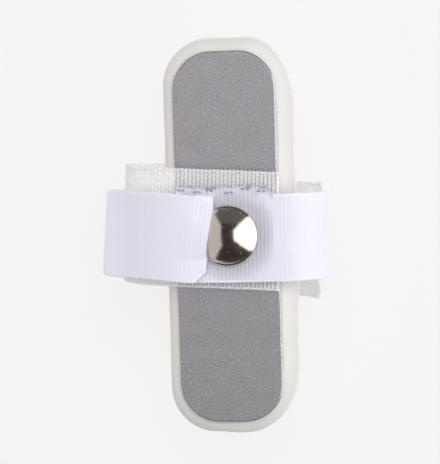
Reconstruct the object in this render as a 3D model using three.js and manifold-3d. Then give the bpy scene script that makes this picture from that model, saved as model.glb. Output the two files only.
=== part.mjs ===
// A padded aluminium finger splint, lying on the elastic strap that closes it.
// X runs across the plate, Y along it and Z up from the surface that the strap's back run lies on.
import * as THREE from "three";
import { mergeVertices } from "three/addons/utils/BufferGeometryUtils.js";
import Module from "manifold-3d";

const wasm = await Module();
wasm.setup();

// Driving sizes in millimetres, angles in degrees.
const seatGap = 0.3; // clearance between neighbouring layers
const fingerRoom = 12.5; // from the band's back run up to the pad

const plateLength = 80;
const plateWidth = 22.3;
const plateThickness = 1;
const plateCorner = 8.3;
const plateEdge = 0.15; // rounding of the plate's rims

const foamThickness = 6;
const foamSideOverhang = 2.95; // how far the foam stands out past the plate's long edges
const foamEndOverhang = 3.2;
const foamCornerAcross = 11.6; // the foam's corners are quarter ellipses
const foamCornerAlong = 14;

const liningThickness = 1;
const liningLip = 0.35; // how far the lining stands out past the foam at the upper right
const liningShift = 0.2; // the lining is glued on a little off the foam's centre

const bandWidth = 25.4;
const bandThickness = 1;
const bandCutEnd = 0.2; // the band's cut end, past the plate's right edge
const bandReachLeft = 11; // how far the band's loop stands out past the foam
const bandTuck = 0.65; // room between the band's free end and the strap round it
const bandFootRadius = 9;
const bandShoulderRadius = 14.5;
const bandShoulderAngle = 45;

const strapWidth = 18.8;
const strapThickness = 1.2;
const strapInnerEnd = 0.7; // the strap's inner end, in from the plate's left edge
const strapReachLeft = 16.35;
const strapReachRight = 6.55;
const strapRightStart = 0.8; // where the strap starts to curve down, in from the plate's right edge
const strapRightAngle = 40; // where its tight shoulder meets the wide round of its right side
const strapFootRadius = 6;
const strapShoulderRadius = 30;
const strapShoulderAngle = 35;
const tailRise = 14; // slope of the tail up to the dome
const tailLap = 2.85; // how far the tail laps over the dome

const rivetAcross = 0.6; // the rivet's place right of the plate's centre line
const rivetAlong = 0.5;
const postRadius = 1.5;
const postClearance = 0.3;
const flangeRadius = 4;
const flangeThickness = 0.8;

const domeRadius = 6.5;
const domeHeight = 3.4;
const domeShell = 0.5;
const domeRim = 0.4; // radius of the rolled rim

// How finely the round and bent forms are cut into flat faces.
const cornerSegments = 6;
const plateSegments = 8;
const lathePoints = 40;
const stripSteps = 88;

// The foam's side from the lining up to the plate: height as a share of its thickness, inset as a
// share of its overhang.
const foamSide = [
  { height: 0, inset: 0.05 },
  { height: 0.1, inset: 0 },
  { height: 0.35, inset: 0.05 },
  { height: 0.6, inset: 0.2 },
  { height: 0.8, inset: 0.43 },
  { height: 0.93, inset: 0.68 },
  { height: 1, inset: 0.9 },
];

// How each strip wanders round its loop: at is a share of its length, drift is its centre line's place
// along the plate as a share of its width, and lean turns its crosswise line, in degrees.
const bandCourse = [
  { at: 0, drift: -0.075, lean: 3 },
  { at: 0.18, drift: -0.06, lean: 5 },
  { at: 0.4, drift: 0.118, lean: 5 },
  { at: 0.55, drift: 0.115, lean: 2.3 },
  { at: 0.78, drift: 0.088, lean: 2.5 },
  { at: 1, drift: 0.043, lean: 1.8 },
];
const strapCourse = [
  { at: 0, drift: -0.004, lean: 0 },
  { at: 0.13, drift: -0.01, lean: 0.8 },
  { at: 0.27, drift: -0.014, lean: 1.6 },
  { at: 0.45, drift: 0.005, lean: 2 },
  { at: 0.71, drift: 0.056, lean: 4.5 },
  { at: 1, drift: -0.01, lean: 5.5 },
];

// Rows across each strip: across is a share of its width, cut is how much shorter that row ends, as a
// share of its width. The tail is clipped at both corners.
const bandRows = [
  { across: -0.5, cut: 0 },
  { across: 0, cut: 0 },
  { across: 0.5, cut: 0 },
];
const strapRows = [
  { across: -0.5, cut: 0.133 },
  { across: -0.43, cut: 0.077 },
  { across: -0.19, cut: 0.01 },
  { across: 0.11, cut: 0.005 },
  { across: 0.41, cut: 0 },
  { across: 0.5, cut: 0.133 },
];

// Heights of the layers, each from the one below.
const strapBack = strapThickness / 2;
const bandBack = strapThickness + seatGap + bandThickness / 2;
const liningFloor = bandBack + bandThickness / 2 + fingerRoom;
const foamFloor = liningFloor + liningThickness + seatGap;
const plateFloor = foamFloor + foamThickness + seatGap;
const plateTop = plateFloor + plateThickness;
const bandFront = plateTop + seatGap + bandThickness / 2;
const strapFront = bandFront + bandThickness / 2 + seatGap + strapThickness / 2;
const domeFloor = strapFront + strapThickness / 2 + seatGap;

// Places across the splint.
const plateHalf = plateWidth / 2;
const foamHalf = plateHalf + foamSideOverhang;
const foamHalfLength = plateLength / 2 + foamEndOverhang;
const strapRight = foamHalf + strapReachRight - strapThickness / 2;
const strapRound = rightSide(plateHalf - strapRightStart);
const loopCentre = strapRight - strapRound.wide;
const bandRight = strapRight - strapThickness / 2 - bandTuck - bandThickness / 2;
const strapLeft = -(foamHalf + strapReachLeft) + strapThickness / 2;
const bandLeft = -(foamHalf + bandReachLeft) + bandThickness / 2;

const materials = {
  aluminium: { color: 0x97969b, roughness: 0.55, metalness: 1 },
  foam: { color: 0xece9e4, roughness: 0.9, metalness: 0 },
  lining: { color: 0xf0eeea, roughness: 0.9, metalness: 0 },
  band: { color: 0xe9e7e8, roughness: 0.85, metalness: 0 },
  strap: { color: 0xe4e2ee, roughness: 0.8, metalness: 0 },
  nickel: { color: 0xc9c5c0, roughness: 0.08, metalness: 1 },
  steel: { color: 0x8c8b8e, roughness: 0.4, metalness: 1 },
};

function radians(degrees) {
  return THREE.MathUtils.degToRad(degrees);
}

// A named mesh with a material of its own.
function piece(name, geometry, finish) {
  const mesh = new THREE.Mesh(geometry, new THREE.MeshStandardMaterial(materials[finish]));
  mesh.name = name;
  return mesh;
}

// A closed geometry as a manifold solid.
function solidOf(geometry) {
  const plain = geometry.clone();
  plain.deleteAttribute("normal");
  plain.deleteAttribute("uv");
  const merged = mergeVertices(plain, 1e-4);
  return new wasm.Manifold(
    new wasm.Mesh({
      numProp: 3,
      vertProperties: new Float32Array(merged.attributes.position.array),
      triVerts: new Uint32Array(merged.index.array),
    }),
  );
}

function geometryOf(solid) {
  const mesh = solid.getMesh();
  const geometry = new THREE.BufferGeometry();
  geometry.setAttribute("position", new THREE.BufferAttribute(mesh.vertProperties, 3));
  geometry.setIndex(new THREE.BufferAttribute(mesh.triVerts, 1));
  geometry.computeVertexNormals();
  return geometry;
}

function cut(geometry, tool) {
  return geometryOf(solidOf(geometry).subtract(solidOf(tool)));
}

// An upright cylinder on the rivet's axis, from one height to another.
function rivetCylinder(radius, bottom, top) {
  const geometry = new THREE.CylinderGeometry(radius, radius, top - bottom, lathePoints);
  geometry.rotateX(Math.PI / 2);
  geometry.translate(rivetAcross, rivetAlong, (bottom + top) / 2);
  return geometry;
}

// A form turned about the rivet's axis from a profile of radius and height.
function rivetTurning(profile, floor) {
  const points = profile.map((point) => new THREE.Vector2(point.radius, point.height));
  const geometry = new THREE.LatheGeometry(points, lathePoints);
  geometry.rotateX(Math.PI / 2);
  geometry.translate(rivetAcross, rivetAlong, floor);
  return geometry;
}

// A rectangle whose corners are quarter ellipses.
function roundedOutline(halfWidth, halfLength, across, along) {
  const shape = new THREE.Shape();
  const x = halfWidth - across;
  const y = halfLength - along;
  shape.moveTo(halfWidth, -y);
  shape.lineTo(halfWidth, y);
  shape.absellipse(x, y, across, along, 0, Math.PI / 2, false, 0);
  shape.absellipse(-x, y, across, along, Math.PI / 2, Math.PI, false, 0);
  shape.absellipse(-x, -y, across, along, Math.PI, 1.5 * Math.PI, false, 0);
  shape.absellipse(x, -y, across, along, 1.5 * Math.PI, 2 * Math.PI, false, 0);
  return shape;
}

function makePlate() {
  const outline = roundedOutline(plateHalf, plateLength / 2, plateCorner, plateCorner);
  const hole = new THREE.Path();
  hole.absarc(rivetAcross, rivetAlong, postRadius + postClearance, 0, 2 * Math.PI, true);
  outline.holes.push(hole);
  const geometry = new THREE.ExtrudeGeometry(outline, {
    depth: plateThickness - 2 * plateEdge,
    bevelThickness: plateEdge,
    bevelSize: plateEdge,
    bevelOffset: -plateEdge,
    bevelSegments: 2,
    curveSegments: plateSegments,
  });
  geometry.translate(0, 0, plateFloor + plateEdge);
  return piece("splint_plate", geometry, "aluminium");
}

// The foam's sides swell out below the plate, and its top has a pocket for the rivet's flange.
function makeFoam() {
  const outline = roundedOutline(foamHalf, foamHalfLength, foamCornerAcross, foamCornerAlong);
  const last = foamSide.length - 1;
  const geometry = new THREE.ExtrudeGeometry(outline, {
    depth: 1,
    steps: last,
    bevelEnabled: false,
    curveSegments: cornerSegments,
  });
  const position = geometry.attributes.position;
  for (let i = 0; i < position.count; i += 1) {
    const row = foamSide[Math.round(position.getZ(i) * last)];
    const narrower = 1 - (row.inset * foamSideOverhang) / foamHalf;
    const shorter = 1 - (row.inset * foamEndOverhang) / foamHalfLength;
    position.setXYZ(
      i,
      position.getX(i) * narrower,
      position.getY(i) * shorter,
      foamFloor + row.height * foamThickness,
    );
  }
  const foamTop = foamFloor + foamThickness;
  const pocketDepth = flangeThickness + seatGap;
  const pocket = rivetCylinder(flangeRadius + seatGap, foamTop - pocketDepth, foamTop + 1);
  return piece("foam_pad", cut(geometry, pocket), "foam");
}

function makeLining() {
  const outline = roundedOutline(
    foamHalf + liningLip - liningShift,
    foamHalfLength + liningLip - liningShift,
    foamCornerAcross,
    foamCornerAlong,
  );
  const geometry = new THREE.ExtrudeGeometry(outline, {
    depth: liningThickness,
    bevelEnabled: false,
    curveSegments: cornerSegments,
  });
  geometry.translate(liningShift, liningShift, liningFloor);
  return piece("pad_lining", geometry, "lining");
}

// A centre line in the X-Z plane, walked from a start and a heading. A leg is a straight run or a
// clockwise turn of a radius through an angle.
function walk(start, heading, legs) {
  const path = new THREE.CurvePath();
  let at = start;
  let facing = radians(heading);
  for (const leg of legs) {
    let curve;
    if (leg.run !== undefined) {
      const step = new THREE.Vector2(Math.cos(facing), Math.sin(facing)).multiplyScalar(leg.run);
      curve = new THREE.LineCurve(at, at.clone().add(step));
    } else {
      const centreX = at.x + leg.radius * Math.sin(facing);
      const centreZ = at.y - leg.radius * Math.cos(facing);
      const from = facing + Math.PI / 2;
      const to = from - radians(leg.turn);
      curve = new THREE.EllipseCurve(centreX, centreZ, leg.radius, leg.radius, from, to, true, 0);
      facing -= radians(leg.turn);
    }
    path.add(curve);
    at = curve.getPoint(1);
  }
  return path;
}

// The two radii of the strap's right side: a shoulder past its front run, then a wide round down to its
// back run. They are solved from its height and from how far it reaches.
function rightSide(start) {
  const angle = radians(strapRightAngle);
  const reach = strapRight - start;
  const height = strapFront - strapBack;
  const sine = Math.sin(angle);
  const cosine = Math.cos(angle);
  const scale = sine * (1 + cosine) - (1 - sine) * (1 - cosine);
  return {
    shoulder: (reach * (1 + cosine) - height * (1 - sine)) / scale,
    wide: (height * sine - reach * (1 - cosine)) / scale,
  };
}

// The legs of a loop's left side, from the end of its back run: round the foot, up the flank, over the
// shoulder and along a last run to a given end. The flank's radius and the run are solved from that end.
function leftSide({ back, left, footRadius, shoulderRadius, shoulderAngle, rise, end }) {
  const shoulder = radians(shoulderAngle);
  const slope = radians(rise);
  const climb = end.y - back - footRadius - shoulderRadius * (Math.cos(slope) - Math.cos(shoulder));
  const reach = end.x - left - shoulderRadius * (Math.sin(shoulder) - Math.sin(slope));
  const flankClimb = Math.cos(shoulder);
  const flankReach = 1 - Math.sin(shoulder);
  const scale = Math.sin(slope) * flankReach - flankClimb * Math.cos(slope);
  const run = (climb * flankReach - flankClimb * reach) / scale;
  const flankRadius = (Math.sin(slope) * reach - Math.cos(slope) * climb) / scale;
  return [
    { radius: footRadius, turn: 90 },
    { radius: flankRadius, turn: 90 - shoulderAngle },
    { radius: shoulderRadius, turn: shoulderAngle - rise },
    { run },
  ];
}

// A course's drift and lean at a share of the strip's length, straight between its rows.
function along(course, share) {
  const next = Math.max(1, course.findIndex((row) => row.at >= share));
  const from = course[next - 1];
  const to = course[next];
  const part = THREE.MathUtils.inverseLerp(from.at, to.at, share);
  return {
    drift: THREE.MathUtils.lerp(from.drift, to.drift, part),
    lean: THREE.MathUtils.lerp(from.lean, to.lean, part),
  };
}

// A flat strip bent along a path, with the rivet's hole through it.
function bentStrip({ path, width, thickness, course, rows }) {
  const last = rows.length - 1;
  const geometry = new THREE.BoxGeometry(1, 1, thickness, stripSteps, last, 1);
  const position = geometry.attributes.position;
  const length = path.getLength();
  for (let i = 0; i < position.count; i += 1) {
    const row = rows[Math.round((position.getY(i) + 0.5) * last)];
    const lift = position.getZ(i);
    const share = (position.getX(i) + 0.5) * (1 - (row.cut * width) / length);
    const centre = path.getPoint(share);
    const facing = path.getTangent(share);
    const { drift, lean } = along(course, share);
    const out = row.across * width;
    position.setXYZ(
      i,
      centre.x - facing.y * lift + out * Math.sin(radians(lean)),
      drift * width + out * Math.cos(radians(lean)),
      centre.y + facing.x * lift,
    );
  }
  const hole = rivetCylinder(postRadius + postClearance, plateFloor, domeFloor);
  return cut(geometry, hole);
}

// The band starts at its free end inside the strap's right side and ends on the plate under the dome.
function makeBand() {
  const loopRadius = bandRight - loopCentre;
  const start = new THREE.Vector2(bandRight, bandBack + loopRadius);
  const end = new THREE.Vector2(plateHalf + bandCutEnd, bandFront);
  const path = walk(start, -90, [
    { radius: loopRadius, turn: 90 },
    { run: loopCentre - (bandLeft + bandFootRadius) },
    ...leftSide({
      back: bandBack,
      left: bandLeft,
      footRadius: bandFootRadius,
      shoulderRadius: bandShoulderRadius,
      shoulderAngle: bandShoulderAngle,
      rise: 0,
      end,
    }),
  ]);
  const geometry = bentStrip({
    path,
    width: bandWidth,
    thickness: bandThickness,
    course: bandCourse,
    rows: bandRows,
  });
  return piece("finger_band", geometry, "band");
}

// Height of the dome's outside over its rim's underside, at a distance from its axis.
function domeSurface(radius) {
  const capRadius = domeRadius - domeRim;
  const capHeight = domeHeight - 2 * domeRim;
  const sphere = (capRadius ** 2 + capHeight ** 2) / (2 * capHeight);
  return domeHeight - sphere + Math.sqrt(sphere ** 2 - radius ** 2);
}

// The strap starts over the plate's left edge, goes right under the dome and once round, and its tail
// laps over the dome's left side.
function makeStrap() {
  const innerEnd = new THREE.Vector2(-plateHalf + strapInnerEnd, strapFront);
  const lapRadius = domeRadius - tailLap;
  const tailLift = strapThickness / 2 / Math.cos(radians(tailRise));
  const tailEnd = new THREE.Vector2(
    rivetAcross - lapRadius,
    domeFloor + domeSurface(lapRadius) + seatGap + tailLift,
  );
  const path = walk(innerEnd, 0, [
    { run: plateHalf - strapRightStart - innerEnd.x },
    { radius: strapRound.shoulder, turn: strapRightAngle },
    { radius: strapRound.wide, turn: 180 - strapRightAngle },
    { run: loopCentre - (strapLeft + strapFootRadius) },
    ...leftSide({
      back: strapBack,
      left: strapLeft,
      footRadius: strapFootRadius,
      shoulderRadius: strapShoulderRadius,
      shoulderAngle: strapShoulderAngle,
      rise: tailRise,
      end: tailEnd,
    }),
  ]);
  const geometry = bentStrip({
    path,
    width: strapWidth,
    thickness: strapThickness,
    course: strapCourse,
    rows: strapRows,
  });
  return piece("closing_strap", geometry, "strap");
}

// A hollow pressed cap with a rolled rim, open underneath.
function makeDome() {
  const capRadius = domeRadius - domeRim;
  const innerRadius = capRadius - domeShell;
  const capSteps = 7;
  const rimSteps = 5;
  const profile = [];
  for (let i = 0; i <= capSteps; i += 1) {
    const radius = (innerRadius * i) / capSteps;
    profile.push({ radius, height: domeSurface(radius) - domeShell });
  }
  profile.push({ radius: innerRadius, height: 0 });
  for (let i = 0; i <= rimSteps; i += 1) {
    const angle = -Math.PI / 2 + (Math.PI * i) / rimSteps;
    const radius = capRadius + domeRim * Math.cos(angle);
    profile.push({ radius, height: domeRim + domeRim * Math.sin(angle) });
  }
  for (let i = capSteps - 1; i >= 0; i -= 1) {
    const radius = (capRadius * i) / capSteps;
    profile.push({ radius, height: domeSurface(radius) });
  }
  return piece("dome_cap", rivetTurning(profile, domeFloor), "nickel");
}

function makePost() {
  const flangeTop = plateFloor - seatGap;
  const topHeight = domeFloor + domeHeight - domeShell - seatGap - flangeTop;
  const profile = [
    { radius: 0, height: -flangeThickness },
    { radius: flangeRadius, height: -flangeThickness },
    { radius: flangeRadius, height: 0 },
    { radius: postRadius, height: 0 },
    { radius: postRadius, height: topHeight },
    { radius: 0, height: topHeight },
  ];
  return piece("rivet_post", rivetTurning(profile, flangeTop), "steel");
}

const splint = new THREE.Group();
splint.add(
  makePlate(),
  makeFoam(),
  makeLining(),
  makeBand(),
  makeStrap(),
  makeDome(),
  makePost(),
);

export default splint;
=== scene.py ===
"""A padded aluminium finger splint, dressed around its construction model.

Every object is in metres, in the frame of the model: X across the splint, Y along it, Z up.
"""

import math

import bmesh
import bpy
import numpy as np
from mathutils import Matrix, Vector


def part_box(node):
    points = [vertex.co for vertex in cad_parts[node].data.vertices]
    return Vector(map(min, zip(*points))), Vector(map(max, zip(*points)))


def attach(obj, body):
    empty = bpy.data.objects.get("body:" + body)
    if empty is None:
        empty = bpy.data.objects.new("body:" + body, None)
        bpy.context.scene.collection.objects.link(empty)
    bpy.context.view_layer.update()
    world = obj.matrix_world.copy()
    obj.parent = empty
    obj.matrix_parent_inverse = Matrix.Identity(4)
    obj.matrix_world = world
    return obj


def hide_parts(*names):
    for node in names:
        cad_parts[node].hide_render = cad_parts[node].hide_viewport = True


bl_info = {
    "name": "Padded finger splint",
    "version": (1, 0, 0),
    "blender": (4, 5, 0),
    "location": "3D View > Sidebar > Splint",
    "description": "Makes the plate, pad, straps, rivet and stage of a padded finger splint",
    "category": "Add Mesh",
}

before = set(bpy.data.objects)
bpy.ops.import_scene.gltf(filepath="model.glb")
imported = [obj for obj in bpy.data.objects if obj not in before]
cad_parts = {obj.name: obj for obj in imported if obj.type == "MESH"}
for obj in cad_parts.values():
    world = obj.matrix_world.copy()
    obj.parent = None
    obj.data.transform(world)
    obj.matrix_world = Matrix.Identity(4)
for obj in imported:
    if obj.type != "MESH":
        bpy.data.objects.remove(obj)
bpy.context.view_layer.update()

BODY = "root"
MM = 0.001
PER_MM = 1 / MM

# Heights and outlines of the hard parts, read from the frame.
PLATE_LOW, PLATE_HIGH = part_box("splint_plate")
FOAM_LOW, FOAM_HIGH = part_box("foam_pad")
LINING_LOW, LINING_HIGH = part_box("pad_lining")
DOME_LOW, DOME_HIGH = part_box("dome_cap")
PLATE_TOP = PLATE_HIGH.z
RIVET = Vector(((DOME_LOW.x + DOME_HIGH.x) / 2, (DOME_LOW.y + DOME_HIGH.y) / 2))
SEAT_GAP = FOAM_LOW.z - LINING_HIGH.z

# Sizes of the plate that its box doesn't give.
RIVET_HOLE = 1.8 * MM
PLATE_CORNERS = ((8.3 * MM, 8.3 * MM),) * 4

# The pad is cut by hand, so its corners differ. Columns: reach across, reach along. Rows go
# anticlockwise from the upper right corner.
FOAM_CORNERS = (
    (9.9 * MM, 15.4 * MM),
    (9.5 * MM, 10 * MM),
    (9.6 * MM, 10.5 * MM),
    (10.4 * MM, 15.2 * MM),
)

# How far the cut lies inside the pad's box: at its upper end, on its right side, how much less at the
# top of that side, and at the lower right. On its left side the pad is wider than its box.
FOAM_CUT_SHORT = 0.3 * MM
FOAM_CUT_RIGHT = 0.25 * MM
FOAM_CUT_TAPER = 0.15 * MM
FOAM_CUT_LOW = 0.5 * MM
FOAM_WIDE_LEFT = 0.3 * MM

# The foam's side from the lining up to the plate. Columns: share of its thickness, inset as a share of
# its overhang.
FOAM_SIDE = ((0, 0.05), (0.1, 0), (0.35, 0.05), (0.6, 0.2), (0.8, 0.43), (0.93, 0.68), (1, 0.9))

# The pocket in the foam for the rivet's flange. It gets deeper over the slope.
POCKET_RADIUS = 5.2 * MM
POCKET_SLOPE = 0.9 * MM
POCKET_DEPTH = 1.15 * MM

# The dome: a shallow cap of a sphere over a rolled rim.
DOME_RADIUS = (DOME_HIGH.x - DOME_LOW.x) / 2
DOME_RIM = 0.4 * MM
DOME_SHELL = 0.5 * MM
CAP_RADIUS = DOME_RADIUS - DOME_RIM

# The band, and the backing sheet under its ribs and threads, which hides the shade behind the open
# weave and is painted grey over the plate.
BAND_WIDTH = 25.4 * MM
BAND_THICKNESS = 1 * MM
BAND_CUT_END = 0.2 * MM
BAND_REACH_LEFT = 11 * MM
BAND_TUCK = 0.65 * MM
BAND_FOOT_RADIUS = 9 * MM
BAND_SHOULDER_RADIUS = 14.5 * MM
BAND_SHOULDER_ANGLE = math.radians(45)
BAND_FLARE = 0.8 * MM
BAND_CORE = 0.24 * MM
BAND_CORE_SINK = 0.2 * MM
BAND_CORE_SHORT = 0.15 * MM
BAND_CORE_NARROW = 0.5 * MM

# The strap, its hem beside the rivet, and its tail. The tail bends to the dome over its last stretch,
# and its pressed end sinks further.
STRAP_WIDTH = 18.8 * MM
STRAP_THICKNESS = 1.2 * MM
STRAP_INNER_END = 0.7 * MM
STRAP_REACH_LEFT = 16.35 * MM
STRAP_REACH_RIGHT = 6.55 * MM
STRAP_RIGHT_START = 0.8 * MM
STRAP_RIGHT_ANGLE = math.radians(40)
STRAP_FOOT_RADIUS = 6 * MM
STRAP_SHOULDER_RADIUS = 30 * MM
STRAP_SHOULDER_ANGLE = math.radians(35)
STRAP_WAIST = 0.5 * MM
STRAP_HEM = 1.6 * MM
STRAP_HEM_LENGTH = 21 * MM
STRAP_LINE_PITCH = 1.34 * MM
TAIL_RISE = math.radians(14)
TAIL_LAP = 2.85 * MM
TAIL_BEND = 8 * MM
TAIL_PRESS = 0.85 * MM
TAIL_PRESSED = 5 * MM

# The waves of the strips, as height and length: of their faces, of their edges and of the strap's hem.
FACE_WAVE = (0.06 * MM, 5 * MM)
EDGE_WAVE = (0.07 * MM, 4 * MM)
HEM_WAVE = (0.12 * MM, 1.3 * MM)
HEM_PUCKER = 0.3

# The strap bulges off the plate. The bulge rises between these distances from the rivet.
BULGE = 0.5 * MM
BULGE_START, BULGE_END = 6.6 * MM, 11.1 * MM

# Painted light: the cloth glows, standing for light that comes through it. The strength of its glow
# everywhere and at the sides of both loops, and between which distances from the loop's middle it grows.
CLOTH_GLOW = 0.06
BAND_SIDE_GLOW = 0.095
BAND_GLOW_START, BAND_GLOW_END = 13 * MM, 19 * MM
STRAP_SIDE_GLOW = 0.15
STRAP_GLOW_START, STRAP_GLOW_END = 17 * MM, 23 * MM
STRAP_MIDDLE = -4.5 * MM

# How each strip wanders round its loop. Columns: share of its length, drift of its centre line along
# the splint as a share of its width, lean of its crosswise line in degrees.
BAND_COURSE = (
    (0, -0.075, 3),
    (0.18, -0.06, 5),
    (0.4, 0.124, 5),
    (0.55, 0.128, 2.3),
    (0.78, 0.092, 2.5),
    (1, 0.043, 1.8),
)
STRAP_COURSE = (
    (0, -0.004, 0),
    (0.13, -0.01, 0.8),
    (0.27, -0.014, 1.6),
    (0.45, 0.005, 2),
    (0.71, 0.056, 4.5),
    (0.86, 0.054, 5),
    (0.9, 0.048, 5.2),
    (0.94, 0.02, 5.3),
    (0.965, -0.002, 5.4),
    (1, -0.01, 5.5),
)

# The strap's clipped end. Columns: place across as a share of the width, and how much shorter the
# strap is there, as a share of the width.
STRAP_CLIP = ((-0.5, 0.165), (-0.38, 0.06), (-0.19, 0.055), (0.11, 0.015), (0.41, 0.03), (0.5, 0.047))

# The tail's upper corner is folded down past a crease. FOLD_FROM is where the crease meets the end, as
# a share of the width. FOLD_RUN is how far it comes in, and FOLD_SLOPE how far the cloth sinks, for
# each mm that it goes up.
FOLD_FROM = 0.367
FOLD_RUN = 1.45
FOLD_SLOPE = 0.42

# The tail's lower corner is pressed down too.
CORNER_PRESS = 0.35 * MM


def linear_rgb(hex_colour):
    """Turns an sRGB hex colour into the linear values that a shader takes."""
    channels = [int(hex_colour[i : i + 2], 16) / 255 for i in (1, 3, 5)]
    return tuple(c / 12.92 if c <= 0.04045 else ((c + 0.055) / 1.055) ** 2.4 for c in channels)


def length_property(name, description, default):
    """A length in metres that a user may change."""
    return bpy.props.FloatProperty(
        name=name, description=description, default=default, min=0, precision=5, unit="LENGTH"
    )


def colour_property(name, description, hex_colour):
    """A colour that a user may change."""
    return bpy.props.FloatVectorProperty(
        name=name,
        description=description,
        default=linear_rgb(hex_colour),
        size=3,
        min=0,
        max=1,
        subtype="COLOR",
    )


class SplintSizes(bpy.types.PropertyGroup):
    """Sizes of the fine work on the splint."""

    plate_edge: length_property("Plate edge", "Radius of the plate's rolled edge", 0.3 * MM)
    band_rib: length_property("Band rib", "Spacing of the band's crosswise ribs", 0.87 * MM)
    band_thread: length_property("Band thread", "Spacing of the band's lengthwise threads", 0.5 * MM)
    strap_rib: length_property("Strap rib", "Spacing of the strap's crosswise ribs", 0.85 * MM)
    strap_thread: length_property("Strap thread", "Spacing of the strap's lengthwise threads", 0.5 * MM)
    strap_relief: length_property("Strap relief", "Height of the strap's ribs", 0.05 * MM)
    stitch_pitch: length_property("Stitch pitch", "Spacing of the pairs of stitches", 3.45 * MM)


class SplintColours(bpy.types.PropertyGroup):
    """Colours of the splint's materials."""

    aluminium: colour_property("Aluminium", "Blasted face of the plate", "#cecfd5")
    foam: colour_property("Foam", "Cream foam of the pad", "#f1eeea")
    # The tan tint on the foam's top edge along the plate.
    plate_edge_tint: colour_property("Edge tint", "Tan tint of the glue at the plate's edge", "#d9c9a4")
    lining: colour_property("Lining", "Brushed cloth of the lining", "#f3f1ee")
    band: colour_property("Band", "Threads of the band", "#faf7f7")
    strap: colour_property("Strap", "Threads of the strap", "#edebf8")
    # The stitches' dark lilac grey is partly the thread's own colour and partly painted shade of the
    # stitch holes and the thread's shadow.
    stitch: colour_property("Stitch", "Sewing thread", "#aaa7bd")
    nickel: colour_property("Nickel", "Plating of the dome", "#d0cbc4")
    steel: colour_property("Steel", "Turned steel of the rivet", "#9a999c")


def sizes():
    """The sizes that a user may change."""
    return bpy.context.scene.splint_sizes


def colours():
    """The colours that a user may change."""
    return bpy.context.scene.splint_colours


# Mesh making


def ripples(u, v, cell, seed):
    """Smooth noise from -1 to 1 over two coordinates, with bumps about one cell wide."""
    lattice = np.random.RandomState(seed).uniform(-1, 1, (64, 64))
    across, along = np.asarray(u) / cell, np.asarray(v) / cell
    low_u, low_v = np.floor(across).astype(int), np.floor(along).astype(int)
    part_u, part_v = across - low_u, along - low_v
    part_u = part_u * part_u * (3 - 2 * part_u)
    part_v = part_v * part_v * (3 - 2 * part_v)
    rows = []
    for step in (0, 1):
        near = lattice[low_u % 64, (low_v + step) % 64]
        far = lattice[(low_u + 1) % 64, (low_v + step) % 64]
        rows.append(near * (1 - part_u) + far * part_u)
    return rows[0] * (1 - part_v) + rows[1] * part_v


def fade(value, start, end):
    """A smooth step from 0, where the value is at the start, to 1, where it is at the end."""
    part = np.clip((value - start) / (end - start), 0, 1)
    return part * part * (3 - 2 * part)


def rounded_outline(half_width, half_length, corners, count):
    """Evenly spaced points round a rectangle whose corners are quarter ellipses. A corner is its reach
    across and along. They go anticlockwise from the upper right one."""
    quarters = []
    for i, (across, along) in enumerate(corners):
        side, end = ((1, 1), (-1, 1), (-1, -1), (1, -1))[i]
        angles = np.linspace(i, i + 1, 40) * math.pi / 2
        x = side * (half_width - across) + across * np.cos(angles)
        y = end * (half_length - along) + along * np.sin(angles)
        quarters.append(np.stack([x, y], 1))
    ring = np.concatenate([*quarters, quarters[0][:1]])
    walked = np.concatenate([[0], np.cumsum(np.hypot(*np.diff(ring, axis=0).T))])
    stops = np.linspace(0, walked[-1], count, endpoint=False)
    return np.stack([np.interp(stops, walked, ring[:, i]) for i in (0, 1)], 1)


def add_object(name, data):
    """An object in the scene that holds this mesh, light or camera."""
    made = bpy.data.objects.new(name, data)
    bpy.context.scene.collection.objects.link(made)
    return made


def make_object(name, vertices, faces, material, attributes=None):
    """An object with smooth outward faces, from points, faces and vector attributes of its points."""
    mesh = bpy.data.meshes.new(name)
    mesh.from_pydata(np.asarray(vertices).reshape(-1, 3).tolist(), [], faces)
    for label, values in (attributes or {}).items():
        layer = mesh.attributes.new(label, "FLOAT_VECTOR", "POINT")
        layer.data.foreach_set("vector", np.asarray(values, float).ravel())
    work = bmesh.new()
    work.from_mesh(mesh)
    bmesh.ops.recalc_face_normals(work, faces=work.faces)
    work.to_mesh(mesh)
    work.free()
    mesh.shade_smooth()
    mesh.materials.append(material)
    return add_object(name, mesh)


def loft_faces(count, around, closed=False, paired=False):
    """Faces between rings of points. A closed loft's last ring joins its first. Other ends are closed by
    fans to two tip points that follow the rings' points, or, where paired, by faces from one half of
    the ring to the other."""
    index = np.arange(count * around).reshape(count, around)
    beside = np.roll(index, -1, axis=1)
    above, above_beside = np.roll(index, -1, axis=0), np.roll(beside, -1, axis=0)
    quads = np.stack([index, beside, above_beside, above], -1)
    faces = (quads if closed else quads[:-1]).reshape(-1, 4).tolist()
    if closed:
        return faces
    first_tip = count * around
    for ring, next_ring, tip in ((index[0], beside[0], first_tip), (index[-1], beside[-1], first_tip + 1)):
        if paired:
            there, back = ring[: around // 2], ring[: around // 2 - 1 : -1]
            faces += np.stack([there[:-1], there[1:], back[1:], back[:-1]], -1).tolist()
        else:
            faces += [[int(a), int(b), tip] for a, b in zip(ring, next_ring)]
    return faces


def bake_modifier(target):
    """Turns an object's modifier into plain mesh."""
    evaluated = target.evaluated_get(bpy.context.evaluated_depsgraph_get())
    mesh = bpy.data.meshes.new_from_object(evaluated)
    target.modifiers.clear()
    target.data = mesh
    mesh.name = target.name


# Node trees


def set_inputs(tree, node, inputs):
    """Sets a node's inputs, by name or by place: as values, or as links from a socket or from another
    node's first output."""
    for socket, value in inputs.items():
        if isinstance(value, bpy.types.Node):
            value = next(output for output in value.outputs if not output.is_unavailable)
        if isinstance(value, bpy.types.NodeSocket):
            tree.links.new(value, node.inputs[socket])
        else:
            node.inputs[socket].default_value = value


def add_node(tree, kind, inputs=None, **settings):
    """Adds a node with its settings and its inputs."""
    node = tree.nodes.new(kind)
    for name, value in settings.items():
        setattr(node, name, value)
    set_inputs(tree, node, inputs or {})
    return node


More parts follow.
